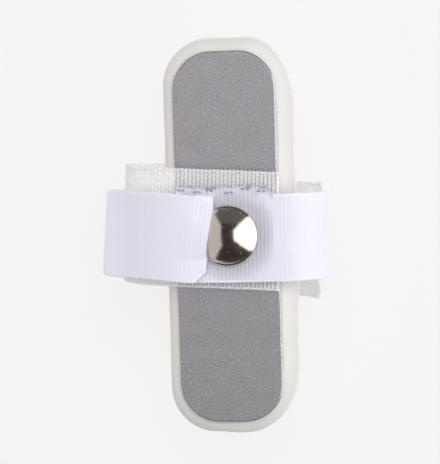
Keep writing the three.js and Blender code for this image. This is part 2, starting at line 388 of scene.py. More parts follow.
def start_geometry_tree(name, whole, lengths):
    """A geometry tree with named inputs: whole numbers, then lengths and shares, and a material.
    Returns it with its input node and its output node."""
    tree = bpy.data.node_groups.new(name, "GeometryNodeTree")
    kinds = {"Geometry": "Geometry", **dict.fromkeys(whole, "Int"), **dict.fromkeys(lengths, "Float")}
    for label, kind in {**kinds, "Material": "Material"}.items():
        tree.interface.new_socket(name=label, in_out="INPUT", socket_type="NodeSocket" + kind)
    tree.interface.new_socket(name="Geometry", in_out="OUTPUT", socket_type="NodeSocketGeometry")
    return tree, add_node(tree, "NodeGroupInput"), add_node(tree, "NodeGroupOutput")


def curve_copies(tree, count, points):
    """Copies of a line of some points. Returns them, which copy each point is on, and its step."""
    line = add_node(tree, "GeometryNodeCurvePrimitiveLine")
    even = add_node(tree, "GeometryNodeResampleCurve", {"Curve": line, "Count": points})
    starts = add_node(tree, "GeometryNodePoints", {"Count": count})
    copies = add_node(tree, "GeometryNodeInstanceOnPoints", {"Points": starts, "Instance": even})
    curves = add_node(tree, "GeometryNodeRealizeInstances", {"Geometry": copies})
    which = add_node(tree, "GeometryNodeCurveOfPoint").outputs
    return curves, which["Curve Index"], which["Index in Curve"]


def lay_tubes(tree, guide, curves, place, lift, radius, sides):
    """Lays curves on a strip's guide at places on its UV map, lifted off it, and makes them tubes."""
    position, normal = on_strip(tree, guide, place)
    offset = add_node(tree, "ShaderNodeVectorMath", {0: normal, 3: lift}, operation="SCALE")
    inputs = {"Geometry": curves, "Position": position, "Offset": offset}
    laid = add_node(tree, "GeometryNodeSetPosition", inputs)
    ring = add_node(tree, "GeometryNodeCurvePrimitiveCircle", {"Resolution": sides, "Radius": 1})
    inputs = {"Curve": laid, "Profile Curve": ring, "Scale": radius, "Fill Caps": True}
    return add_node(tree, "GeometryNodeCurveToMesh", inputs)


def finish_geometry_tree(tree, geometry, given, result):
    """Ends a geometry tree in real geometry with its material."""
    real = add_node(tree, "GeometryNodeRealizeInstances", {"Geometry": geometry})
    smooth = add_node(tree, "GeometryNodeSetShadeSmooth", {"Geometry": real})
    inputs = {"Geometry": smooth, "Material": given.outputs["Material"]}
    painted = add_node(tree, "GeometryNodeSetMaterial", inputs)
    set_inputs(tree, result, {"Geometry": painted})


def run_geometry_tree(target, tree, values):
    """Runs a geometry tree on an object with these inputs, and keeps what it makes as plain mesh."""
    modifier = target.modifiers.new(tree.name, "NODES")
    modifier.node_group = tree
    sockets = {s.name: s.identifier for s in tree.interface.items_tree if s.in_out == "INPUT"}
    for name, value in values.items():
        modifier[sockets[name]] = value
    bake_modifier(target)


def start_material(name):
    """A material with its tree and its main shader."""
    material = bpy.data.materials.new(name)
    material.use_nodes = True
    return material, material.node_tree, material.node_tree.nodes["Principled BSDF"]


def shade(colour, factor=1):
    """A linear colour made lighter or darker, with full alpha."""
    return (*(min(1, c * factor) for c in colour), 1)


# Materials. The scale of a noise is in cells to a millimetre.


def aluminium_material():
    """Bead-blasted aluminium sheet: dull, with a fine sparkle of painted glints for the light on the
    grit's dimples, soft clouds where the blast was uneven, painted shade that darkens it towards its lower
    end, and painted shade along its cut edges except on its right side."""
    material, tree, shader = start_material("Blasted aluminium")
    base = tuple(colours().aluminium)
    place = add_node(tree, "ShaderNodeTexCoord").outputs["Object"]
    # Dimples of 0.15 mm are drawn at 0.4 mm, so that they show.
    grit = add_node(tree, "ShaderNodeTexNoise", {"Vector": place, "Scale": 2.5 * PER_MM, "Detail": 3})
    clouds = add_node(tree, "ShaderNodeTexNoise", {"Vector": place, "Scale": 0.26 * PER_MM, "Detail": 3})
    specks = add_node(tree, "ShaderNodeTexNoise", {"Vector": place, "Scale": 1.9 * PER_MM, "Detail": 1})
    grain = add_node(
        tree,
        "ShaderNodeMapRange",
        {"Value": grit, "From Min": 0.3, "From Max": 0.7, "To Min": 0.8, "To Max": 1.2},
    )
    cloudy = add_node(
        tree,
        "ShaderNodeMapRange",
        {"Value": clouds, "From Min": 0.35, "From Max": 0.65, "To Min": 0.97, "To Max": 1.03},
    )
    # Painted shade: the plate is darker towards its lower end and lighter towards its upper end.
    along = add_node(tree, "ShaderNodeSeparateXYZ", {0: place}).outputs["Y"]
    painted_lengthwise_shade = add_node(
        tree,
        "ShaderNodeMapRange",
        {
            "Value": along,
            "From Min": PLATE_LOW.y,
            "From Max": PLATE_HIGH.y,
            "To Min": 0.9,
            "To Max": 1.06,
        },
    )
    clouds_and_shade = add_node(tree, "ShaderNodeMath", {0: cloudy, 1: painted_lengthwise_shade}, operation="MULTIPLY")
    amount = add_node(tree, "ShaderNodeMath", {0: grain, 1: clouds_and_shade}, operation="MULTIPLY")
    tinted = add_node(tree, "ShaderNodeVectorMath", {0: base, 3: amount}, operation="SCALE")
    # Painted glints: pale specks stand for light caught by the grit's dimples.
    bright = add_node(
        tree,
        "ShaderNodeMapRange",
        {"Value": specks, "From Min": 0.66, "From Max": 0.74, "To Min": 0, "To Max": 0.4},
    )
    sparkling = add_node(
        tree, "ShaderNodeMix", {0: bright, 6: tinted, 7: shade(linear_rgb("#f8f8fa"))}, data_type="RGBA"
    )
    # Painted shade: the plate is darker below the top of its rolled edge, except on its right side.
    cut = add_node(tree, "ShaderNodeAttribute", attribute_name="cut").outputs["Fac"]
    colour = add_node(
        tree, "ShaderNodeMix", {0: cut, 6: sparkling, 7: shade(linear_rgb("#5f5e5a"))}, data_type="RGBA"
    )
    bump = add_node(tree, "ShaderNodeBump", {"Strength": 0.35, "Distance": 0.05 * MM, "Height": grit})
    set_inputs(tree, shader, {"Base Color": colour, "Normal": bump, "Metallic": 1, "Roughness": 0.6})
    return material


def foam_material():
    """Closed-cell polyethylene foam with a cut skin: dull and cream, with fine cells and a tan tint on its
    top edge along the plate."""
    material, tree, shader = start_material("Cream cell foam")
    base = tuple(colours().foam)
    place = add_node(tree, "ShaderNodeTexCoord").outputs["Object"]
    # Cells of 0.2 mm are drawn at 0.45 mm, so that they show.
    cells = add_node(tree, "ShaderNodeTexNoise", {"Vector": place, "Scale": 2.2 * PER_MM, "Detail": 2})
    clouds = add_node(tree, "ShaderNodeTexNoise", {"Vector": place, "Scale": 0.18 * PER_MM, "Detail": 2})
    speckled = add_node(
        tree, "ShaderNodeMix", {0: cells, 6: shade(base, 0.96), 7: shade(base, 1.03)}, data_type="RGBA"
    )
    soiled = add_node(
        tree,
        "ShaderNodeMapRange",
        {"Value": clouds, "From Min": 0.4, "From Max": 0.7, "To Min": 0, "To Max": 0.12},
    )
    colour = add_node(
        tree, "ShaderNodeMix", {0: soiled, 6: speckled, 7: shade(base, 0.9)}, data_type="RGBA"
    )
    # The foam's top 0.3 mm, along the plate, is tinted tan.
    height = add_node(tree, "ShaderNodeSeparateXYZ", {0: place}).outputs["Z"]
    near_plate = add_node(
        tree,
        "ShaderNodeMapRange",
        {"Value": height, "From Min": FOAM_HIGH.z - 0.3 * MM, "From Max": FOAM_HIGH.z, "To Max": 0.2},
    )
    edge_tinted = add_node(
        tree, "ShaderNodeMix", {0: near_plate, 6: colour, 7: shade(colours().plate_edge_tint)}, data_type="RGBA"
    )
    bump = add_node(tree, "ShaderNodeBump", {"Strength": 0.3, "Distance": 0.06 * MM, "Height": cells})
    values = {"Base Color": edge_tinted, "Normal": bump, "Roughness": 0.85, "Specular IOR Level": 0.3}
    set_inputs(tree, shader, values)
    return material


def finish_cloth(tree, shader, base, colour, glow, finish):
    """Sets a cloth's shader: dull, with a painted glow of its own base colour, and what its finish says.
    """
    dull = {"Roughness": 0.85, "Specular IOR Level": 0.3, "Sheen Weight": 0.15}
    lit = {"Base Color": colour, "Emission Color": shade(base), "Emission Strength": glow}
    set_inputs(tree, shader, {**dull, **lit, **finish})


def cloth_material(name, base, fibre, bump_depth, contrast, sheen):
    """Brushed or spun polyester: dull, with short fibres that vary in lightness and catch the light. It
    is thin, so a little light comes through it, which its painted glow stands for."""
    material, tree, shader = start_material(name)
    place = add_node(tree, "ShaderNodeTexCoord").outputs["Object"]
    fibres = add_node(
        tree, "ShaderNodeTexNoise", {"Vector": place, "Scale": 1 / fibre, "Detail": 3, "Distortion": 0.8}
    )
    dark, light = shade(base, 1 - contrast), shade(base, 1 + contrast)
    colour = add_node(tree, "ShaderNodeMix", {0: fibres, 6: dark, 7: light}, data_type="RGBA")
    bump = add_node(tree, "ShaderNodeBump", {"Strength": 0.4, "Distance": bump_depth, "Height": fibres})
    finish_cloth(tree, shader, base, colour, CLOTH_GLOW, {"Normal": bump, "Sheen Weight": sheen})
    return material


def over_plate(tree):
    """How far a place on the band lies over the plate, where the band gets painted shade, and its
    distance from the middle of the splint."""
    place = add_node(tree, "ShaderNodeTexCoord").outputs["Object"]
    split = add_node(tree, "ShaderNodeSeparateXYZ", {0: place})
    side = add_node(tree, "ShaderNodeMath", {0: split.outputs["X"]}, operation="ABSOLUTE")
    blur = 0.2 * MM
    inputs = {"Value": side, "From Min": PLATE_HIGH.x + blur, "From Max": PLATE_HIGH.x - blur}
    inside = add_node(tree, "ShaderNodeMapRange", inputs)
    above = add_node(
        tree, "ShaderNodeMath", {0: split.outputs["Z"], 1: PLATE_TOP}, operation="GREATER_THAN"
    )
    return add_node(tree, "ShaderNodeMath", {0: inside, 1: above}, operation="MULTIPLY"), side


def band_material(name, base, shaded_over_plate):
    """Elastic yarn: a dull cream, greyed by painted shade over the plate, which stands for the plate and
    the shade seen through the open weave. Elsewhere it has a painted glow, stronger at the sides of the
    loop."""
    material, tree, shader = start_material(name)
    covered, side = over_plate(tree)
    inputs = {0: covered, 6: shade(base, 0.97), 7: shade(shaded_over_plate)}
    colour = add_node(tree, "ShaderNodeMix", inputs, data_type="RGBA")
    aside = add_node(
        tree,
        "ShaderNodeMapRange",
        {
            "Value": side,
            "From Min": BAND_GLOW_START,
            "From Max": BAND_GLOW_END,
            "To Min": CLOTH_GLOW,
            "To Max": BAND_SIDE_GLOW,
        },
    )
    glow = add_node(tree, "ShaderNodeMapRange", {"Value": covered, "To Min": aside, "To Max": 0})
    finish_cloth(tree, shader, base, colour, glow, {})
    return material


def strap_material():
    """Woven elastic tape: bright threads over painted lilac shade between the ribs, painted shade where
    the weave is strong by the rivet, and painted light where it is faint, which makes its cut ends white.
    """
    material, tree, shader = start_material("Woven elastic tape")
    base = tuple(colours().strap)
    weave = add_node(tree, "ShaderNodeAttribute", attribute_name="weave").outputs["Vector"]
    along, across, relief = add_node(tree, "ShaderNodeSeparateXYZ", {0: weave}).outputs
    rib_turn = math.pi / sizes().strap_rib
    turn = add_node(tree, "ShaderNodeMath", {0: along, 1: rib_turn}, operation="MULTIPLY")
    wave = add_node(tree, "ShaderNodeMath", {0: turn}, operation="SINE")
    crest = add_node(tree, "ShaderNodeMath", {0: wave}, operation="ABSOLUTE")
    # Each thread shows as a short slanted dash on its rib.
    slanted = add_node(tree, "ShaderNodeMath", {0: along, 1: 0.6, 2: across}, operation="MULTIPLY_ADD")
    dash_turn = 2 * math.pi / sizes().strap_thread
    dash = add_node(tree, "ShaderNodeMath", {0: slanted, 1: dash_turn}, operation="MULTIPLY")
    dash = add_node(tree, "ShaderNodeMath", {0: dash}, operation="SINE")
    thread = add_node(tree, "ShaderNodeMath", {0: dash, 1: 0.25, 2: crest}, operation="MULTIPLY_ADD")
    shown = add_node(tree, "ShaderNodeMath", {0: thread, 1: relief}, operation="MULTIPLY")
    place = add_node(tree, "ShaderNodeTexCoord").outputs["Object"]
    # Fibres of 0.02 mm are drawn at 0.4 mm, so that they show.
    fibres = add_node(tree, "ShaderNodeTexNoise", {"Vector": place, "Scale": 2.6 * PER_MM, "Detail": 2})
    light = add_node(
        tree, "ShaderNodeMix", {0: fibres, 6: shade(base, 0.96), 7: shade(base, 1.03)}, data_type="RGBA"
    )
    # Painted shade: the colour is darker between the threads and between the ribs.
    lift = add_node(
        tree, "ShaderNodeMapRange", {"Value": thread, "From Max": 1, "To Min": 0.94, "To Max": 1}
    )
    # Painted shade and light: the colour is darker where the weave is strong, as where the rivet stretches
    # the strap, and lighter where it is faint, as on the tail and at the cut ends.
    shade_by_relief = add_node(
        tree,
        "ShaderNodeMapRange",
        {"Value": relief, "From Min": 0.4, "From Max": 3, "To Min": 1.06, "To Max": 0.64},
    )
    painted_shading = add_node(tree, "ShaderNodeMath", {0: lift, 1: shade_by_relief}, operation="MULTIPLY")
    colour = add_node(tree, "ShaderNodeVectorMath", {0: light, 3: painted_shading}, operation="SCALE")
    # At the sides of the loop, clear of the pad, the strap gets a stronger painted glow.
    side = add_node(tree, "ShaderNodeSeparateXYZ", {0: place}).outputs["X"]
    past_middle = add_node(tree, "ShaderNodeMath", {0: side, 1: STRAP_MIDDLE}, operation="SUBTRACT")
    from_middle = add_node(tree, "ShaderNodeMath", {0: past_middle}, operation="ABSOLUTE")
    glow = add_node(
        tree,
        "ShaderNodeMapRange",
        {
            "Value": from_middle,
            "From Min": STRAP_GLOW_START,
            "From Max": STRAP_GLOW_END,
            "To Min": CLOTH_GLOW,
            "To Max": STRAP_SIDE_GLOW,
        },
    )
    bump = add_node(tree, "ShaderNodeBump", {"Strength": 0.35, "Distance": 0.05 * MM, "Height": shown})
    finish_cloth(tree, shader, base, colour, glow, {"Normal": bump, "Roughness": 0.8})
    return material


def nickel_material():
    """Bright nickel plate on a pressed cap: a soft mirror with handling marks and a few pale specks."""
    material, tree, shader = start_material("Bright nickel plate")
    base = tuple(colours().nickel)
    place = add_node(tree, "ShaderNodeTexCoord").outputs["Object"]
    marks = add_node(tree, "ShaderNodeTexNoise", {"Vector": place, "Scale": 0.9 * PER_MM, "Detail": 4})
    specks = add_node(tree, "ShaderNodeTexNoise", {"Vector": place, "Scale": 2.6 * PER_MM, "Detail": 0})
    rough = add_node(
        tree,
        "ShaderNodeMapRange",
        {"Value": marks, "From Min": 0.35, "From Max": 0.75, "To Min": 0.13, "To Max": 0.24},
    )
    dusty = add_node(
        tree,
        "ShaderNodeMapRange",
        {"Value": specks, "From Min": 0.79, "From Max": 0.86, "To Min": 0, "To Max": 0.7},
    )
    colour = add_node(
        tree, "ShaderNodeMix", {0: dusty, 6: shade(base), 7: (1, 1, 1, 1)}, data_type="RGBA"
    )
    metallic = add_node(tree, "ShaderNodeMath", {0: 1, 1: dusty}, operation="SUBTRACT")
    bump = add_node(tree, "ShaderNodeBump", {"Strength": 0.06, "Distance": 0.05 * MM, "Height": marks})
    values = {"Base Color": colour, "Normal": bump, "Roughness": rough, "Metallic": metallic}
    set_inputs(tree, shader, values)
    return material


def steel_material():
    """Turned steel: grey, with fine rings from the lathe."""
    material, tree, shader = start_material("Turned steel")
    base = tuple(colours().steel)
    place = add_node(tree, "ShaderNodeTexCoord").outputs["Object"]
    rings = add_node(tree, "ShaderNodeTexNoise", {"Vector": place, "Scale": 3 * PER_MM, "Detail": 2})
    colour = add_node(
        tree, "ShaderNodeMix", {0: rings, 6: shade(base, 0.9), 7: shade(base, 1.1)}, data_type="RGBA"
    )
    set_inputs(tree, shader, {"Base Color": colour, "Metallic": 1, "Roughness": 0.35})
    return material


# The strips' paths


class StripPath:
    """A centre line in the X-Z plane, walked from a start and a heading. A leg is a radius and an
    amount: a straight run of that length where the radius is None, or else a clockwise turn. The slack
    lets a rounded distance still find its leg."""

    SLACK = 1e-9

    def __init__(self, start, heading, legs):
        self.legs = []
        point, travelled = np.array(start, float), 0.0
        for radius, amount in legs:
            span = amount if radius is None else radius * amount
            self.legs.append((travelled, travelled + span, point, heading, radius))
            point = self._on_leg(self.legs[-1], np.array([span]))[0][0]
            heading -= 0 if radius is None else amount
            travelled += span
        self.length = travelled

    @staticmethod
    def _on_leg(leg, gone):
        """Points and headings at distances along one leg."""
        _, _, point, heading, radius = leg
        if radius is None:
            facing = np.full(gone.shape, heading)
            return point + gone[:, None] * (math.cos(heading), math.sin(heading)), facing
        centre = point + (radius * math.sin(heading), -radius * math.cos(heading))
        facing = heading - gone / radius
        return centre + radius * np.stack([-np.sin(facing), np.cos(facing)], 1), facing

    def at(self, distance):
        """Points and headings at an array of distances from the start."""
        points, facing = np.zeros((len(distance), 2)), np.zeros(len(distance))
        for leg in self.legs:
            here = (distance >= leg[0] - self.SLACK) & (distance <= leg[1] + self.SLACK)
            points[here], facing[here] = self._on_leg(leg, distance[here] - leg[0])
        return points, facing


def left_side(back, left, foot_radius, shoulder_radius, shoulder_angle, rise, end):
    """The legs of a loop's left side: round the foot, up the flank, over the shoulder and along a last
    run to a given end. The flank's radius and the run are solved from that end."""
    sink = shoulder_radius * (math.cos(rise) - math.cos(shoulder_angle))
    climb = end[1] - back - foot_radius - sink
    reach = end[0] - left - shoulder_radius * (math.sin(shoulder_angle) - math.sin(rise))
    flank_climb, flank_reach = math.cos(shoulder_angle), 1 - math.sin(shoulder_angle)
    scale = math.sin(rise) * flank_reach - flank_climb * math.cos(rise)
    run = (climb * flank_reach - flank_climb * reach) / scale
    flank_radius = (math.sin(rise) * reach - math.cos(rise) * climb) / scale
    return [
        (foot_radius, math.pi / 2),
        (flank_radius, math.pi / 2 - shoulder_angle),
        (shoulder_radius, shoulder_angle - rise),
        (None, run),
    ]


def dome_surface(radius):
    """Height of the dome's outside over its rim's underside, at a distance from its axis."""
    height = DOME_HIGH.z - DOME_LOW.z
    cap_height = height - 2 * DOME_RIM
    sphere = (CAP_RADIUS**2 + cap_height**2) / (2 * cap_height)
    return height - sphere + math.sqrt(sphere**2 - radius**2)


STRAP_BACK = STRAP_THICKNESS / 2
BAND_BACK = STRAP_THICKNESS + SEAT_GAP + BAND_THICKNESS / 2
BAND_FRONT = PLATE_TOP + SEAT_GAP + BAND_THICKNESS / 2
STRAP_FRONT = BAND_FRONT + BAND_THICKNESS / 2 + SEAT_GAP + STRAP_THICKNESS / 2
STRAP_RIGHT = FOAM_HIGH.x + STRAP_REACH_RIGHT - STRAP_THICKNESS / 2
STRAP_LEFT = FOAM_LOW.x - STRAP_REACH_LEFT + STRAP_THICKNESS / 2
BAND_RIGHT = STRAP_RIGHT - STRAP_THICKNESS / 2 - BAND_TUCK - BAND_THICKNESS / 2
BAND_LEFT = FOAM_LOW.x - BAND_REACH_LEFT + BAND_THICKNESS / 2


def strap_rounds():
    """The strap's right side: the radius of the shoulder past its front run, and of the wide round
    down to its back run."""
    sine, cosine = math.sin(STRAP_RIGHT_ANGLE), math.cos(STRAP_RIGHT_ANGLE)
    reach = STRAP_RIGHT - (PLATE_HIGH.x - STRAP_RIGHT_START)
    height = STRAP_FRONT - STRAP_BACK
    scale = sine * (1 + cosine) - (1 - sine) * (1 - cosine)
    shoulder = (reach * (1 + cosine) - height * (1 - sine)) / scale
    wide = (height * sine - reach * (1 - cosine)) / scale
    return shoulder, wide


def strap_path():
    """The strap starts over the plate's left edge, goes right under the dome and once round, and its
    tail laps over the dome's left side."""
    shoulder, wide = strap_rounds()
    start = (PLATE_LOW.x + STRAP_INNER_END, STRAP_FRONT)
    lap_radius = DOME_RADIUS - TAIL_LAP
    tail_lift = STRAP_THICKNESS / 2 / math.cos(TAIL_RISE)
    end = (RIVET.x - lap_radius, DOME_LOW.z + dome_surface(lap_radius) + SEAT_GAP + tail_lift)
    legs = [
        (None, PLATE_HIGH.x - STRAP_RIGHT_START - start[0]),
        (shoulder, STRAP_RIGHT_ANGLE),
        (wide, math.pi - STRAP_RIGHT_ANGLE),
        (None, STRAP_RIGHT - wide - (STRAP_LEFT + STRAP_FOOT_RADIUS)),
        *left_side(
            STRAP_BACK,
            STRAP_LEFT,
            STRAP_FOOT_RADIUS,
            STRAP_SHOULDER_RADIUS,
            STRAP_SHOULDER_ANGLE,
            TAIL_RISE,
            end,
        ),
    ]
    return StripPath(start, 0, legs)


def band_path():
    """The band starts at its free end inside the strap's right side and ends on the plate under the
    dome."""
    loop_centre = STRAP_RIGHT - strap_rounds()[1]
    loop_radius = BAND_RIGHT - loop_centre
    legs = [
        (loop_radius, math.pi / 2),
        (None, loop_centre - (BAND_LEFT + BAND_FOOT_RADIUS)),
        *left_side(
            BAND_BACK,
            BAND_LEFT,
            BAND_FOOT_RADIUS,
            BAND_SHOULDER_RADIUS,
            BAND_SHOULDER_ANGLE,
            0,
            (PLATE_HIGH.x + BAND_CUT_END, BAND_FRONT),
        ),
    ]
    return StripPath((BAND_RIGHT, BAND_BACK + loop_radius), -math.pi / 2, legs)


class Strip:
    """A flat strip bent along a path. A hem, where it has one, stands out past its upper edge along the
    path's first stretch. Such a strip bulges off the plate there, away from the rivet, and its tail
    droops over the dome. On the right side both edges spread by the flare, and the middle pulls in by
    the waist."""

    def __init__(self, path, width, course, seed, hem=0, hem_length=0, flare=0, waist=0):
        self.path, self.width, self.seed = path, width, seed
        self.course = np.array(course, float)
        self.hem, self.hem_length = hem, hem_length
        self.flare, self.waist = flare, waist

    def place(self, distance, across, lift):
        """Points at arrays of distances along, places across as shares of the width, and lifts off the
        middle. The strip waves a little, as cloth does."""
        points, facing = self.path.at(distance)
        share = distance / self.path.length
        drift = np.interp(share, self.course[:, 0], self.course[:, 1]) * self.width
        lean = np.radians(np.interp(share, self.course[:, 0], self.course[:, 2]))
        out = across * self.width
        lift = lift + FACE_WAVE[0] * ripples(distance, out, FACE_WAVE[1], self.seed)
        edge = EDGE_WAVE[0] * ripples(distance, across, EDGE_WAVE[1], self.seed + 1)
        out = out + edge * np.abs(2 * across)
        if self.hem:
            near = fade(distance, self.hem_length, self.hem_length - 2 * MM)
            pucker = 1 + HEM_PUCKER * ripples(distance, across, HEM_WAVE[1], self.seed + 2)
            out = out + near * self.hem * pucker * fade(across, 0.36, 0.5)
            from_rivet = np.hypot(points[:, 0] - RIVET.x, drift + out - RIVET.y)
            bulge = BULGE * fade(from_rivet, BULGE_START, BULGE_END)
            lift = lift + bulge * fade(distance, self.hem_length + 2 * MM, self.hem_length - 2 * MM)
            wave = HEM_WAVE[0] * ripples(distance, out, HEM_WAVE[1], self.seed + 3)
            lift = lift + near * wave * (across > 0.3)
            lift = lift - self.tail_droop(distance, drift + out)
        from_middle = np.abs(across)
        spread = self.flare * fade(from_middle, 0.36, 0.41) * fade(from_middle, 0.53, 0.47)
        spread = spread - self.waist * fade(from_middle, 0.42, 0)
        spread = spread * fade(points[:, 0], 12 * MM, 16 * MM)
        return np.stack(
            [
                points[:, 0] - np.sin(facing) * lift + out * np.sin(lean) + spread,
                drift + out * np.cos(lean),
                points[:, 1] + np.cos(facing) * lift,
            ],
            1,
        )

    def tail_droop(self, distance, along):
        """How far the tail sinks where the dome falls away under its corners, and at its pressed end."""
        left = self.path.length - distance
        lap = DOME_RADIUS - TAIL_LAP
        away = np.minimum(np.hypot(lap, along - RIVET.y), CAP_RADIUS)
        fall = dome_surface(lap) - np.array([dome_surface(r) for r in away])
        return 0.95 * fall * fade(left, TAIL_BEND, 0) + TAIL_PRESS * fade(left, TAIL_PRESSED, 0)


def strip_guide(name, strip, steps, lanes, material):
    """An open sheet through the middle of a strip. Its UV map runs from 0 to 1 along and across."""
    along, across = np.meshgrid(np.linspace(0, 1, steps + 1), np.linspace(0, 1, lanes + 1), indexing="ij")
    points = strip.place(along.ravel() * strip.path.length, across.ravel() - 0.5, 0)
    index = np.arange((steps + 1) * (lanes + 1)).reshape(steps + 1, lanes + 1)
    quads = np.stack([index[:-1, :-1], index[1:, :-1], index[1:, 1:], index[:-1, 1:]], -1).reshape(-1, 4)
    mesh = bpy.data.meshes.new(name)
    mesh.from_pydata(points.tolist(), [], quads.tolist())
    corners = quads.ravel()
    uv = np.stack([along.ravel()[corners], across.ravel()[corners]], 1)
    layer = mesh.uv_layers.new(name="strip")
    layer.data.foreach_set("uv", uv.ravel())
    mesh.shade_smooth()
    mesh.materials.append(material)
    return add_object(name, mesh)


def on_strip(tree, geometry, place):
    """The position and the normal of a strip's guide at a place on its UV map."""
    strip_map = add_node(
        tree, "GeometryNodeInputNamedAttribute", {"Name": "strip"}, data_type="FLOAT_VECTOR"
    ).outputs["Attribute"]
    found = []
    for source in ("Position", "Normal"):
        value = add_node(tree, "GeometryNodeInput" + source).outputs[source]
        inputs = {0: geometry, 1: value, 2: strip_map, 3: place}
        sample = add_node(tree, "GeometryNodeSampleUVSurface", inputs, data_type="FLOAT_VECTOR")
        found.append(sample.outputs["Value"])
    return found


def woven_cords_tree():
    """Lays wavy cords side by side over a strip, along it or across it. Each goes over and under in
    turn, and each next one starts the other way."""
    tree, given, result = start_geometry_tree(
        "Woven cords",
        ("Cords", "Crossings", "Sides", "Seed"),
        ("Lengthwise", "Radius", "Edge Radius", "Swell", "Rise", "Slant", "Uneven"),
    )
    take = given.outputs
    steps = add_node(tree, "ShaderNodeMath", {0: take["Crossings"], 1: 2}, operation="MULTIPLY")
    count = add_node(tree, "ShaderNodeMath", {0: steps, 1: 1}, operation="ADD")
    cords, number, step = curve_copies(tree, take["Cords"], count)
    gone = add_node(tree, "ShaderNodeMath", {0: step, 1: steps}, operation="DIVIDE")
    # The wave: nought between crossings, up or down by turns at them.
    start = add_node(tree, "ShaderNodeMath", {0: number, 1: math.pi}, operation="MULTIPLY")
    turn = add_node(tree, "ShaderNodeMath", {0: step, 1: math.pi / 2}, operation="MULTIPLY")
    turn = add_node(tree, "ShaderNodeMath", {0: turn, 1: start}, operation="ADD")
    wave = add_node(tree, "ShaderNodeMath", {0: turn}, operation="SINE")
    crossing = add_node(tree, "ShaderNodeMath", {0: wave, 1: wave}, operation="MULTIPLY")
    # Each point slips a little to the side, and swells and varies in thickness.
    inputs = {0: (-1, -1, -1), 1: (1, 1, 1), "Seed": take["Seed"]}
    random = add_node(tree, "FunctionNodeRandomValue", inputs, data_type="FLOAT_VECTOR")
    loose = add_node(tree, "ShaderNodeSeparateXYZ", {0: random}).outputs
    slip = add_node(tree, "ShaderNodeMath", {0: loose["X"], 1: take["Uneven"]}, operation="MULTIPLY")
    slant = add_node(tree, "ShaderNodeMath", {0: crossing, 1: 0.5}, operation="SUBTRACT")
    slant = add_node(tree, "ShaderNodeMath", {0: slant, 1: take["Slant"]}, operation="MULTIPLY")
    aside = add_node(tree, "ShaderNodeMath", {0: slip, 1: slant}, operation="ADD")
    side = add_node(tree, "ShaderNodeMath", {0: number, 1: 0.5}, operation="ADD")
    side = add_node(tree, "ShaderNodeMath", {0: side, 1: aside}, operation="ADD")
    side = add_node(tree, "ShaderNodeMath", {0: side, 1: take["Cords"]}, operation="DIVIDE")
    crosswise = add_node(tree, "ShaderNodeCombineXYZ", {0: side, 1: gone})
    lengthwise = add_node(tree, "ShaderNodeCombineXYZ", {0: gone, 1: side})
    inputs = {0: take["Lengthwise"], 4: crosswise, 5: lengthwise}
    place = add_node(tree, "ShaderNodeMix", inputs, data_type="VECTOR").outputs[1]
    lift = add_node(tree, "ShaderNodeMath", {0: wave, 1: take["Rise"]}, operation="MULTIPLY")
    swell = add_node(tree, "ShaderNodeMath", {0: crossing, 1: take["Swell"]}, operation="MULTIPLY")
    swell = add_node(tree, "ShaderNodeMath", {0: 1, 1: swell}, operation="ADD")
    varied = add_node(tree, "ShaderNodeMath", {0: loose["Y"], 1: take["Uneven"]}, operation="MULTIPLY")
    varied = add_node(tree, "ShaderNodeMath", {0: 1, 1: varied}, operation="ADD")
    # The first and the last cord are thicker, as an edge is.
    first = add_node(tree, "ShaderNodeMath", {0: number, 1: 0.5}, operation="LESS_THAN")
    last = add_node(tree, "ShaderNodeMath", {0: take["Cords"], 1: 1.5}, operation="SUBTRACT")
    last = add_node(tree, "ShaderNodeMath", {0: number, 1: last}, operation="GREATER_THAN")
    edge = add_node(tree, "ShaderNodeMath", {0: first, 1: last}, operation="ADD")
    edge = add_node(tree, "ShaderNodeMath", {0: edge, 1: take["Edge Radius"]}, operation="MULTIPLY")
    radius = add_node(tree, "ShaderNodeMath", {0: take["Radius"], 1: swell}, operation="MULTIPLY")
    radius = add_node(tree, "ShaderNodeMath", {0: radius, 1: varied}, operation="MULTIPLY")
    radius = add_node(tree, "ShaderNodeMath", {0: radius, 1: edge}, operation="ADD")
    tubes = lay_tubes(tree, take["Geometry"], cords, place, lift, radius, take["Sides"])
    finish_geometry_tree(tree, tubes, given, result)
    return tree


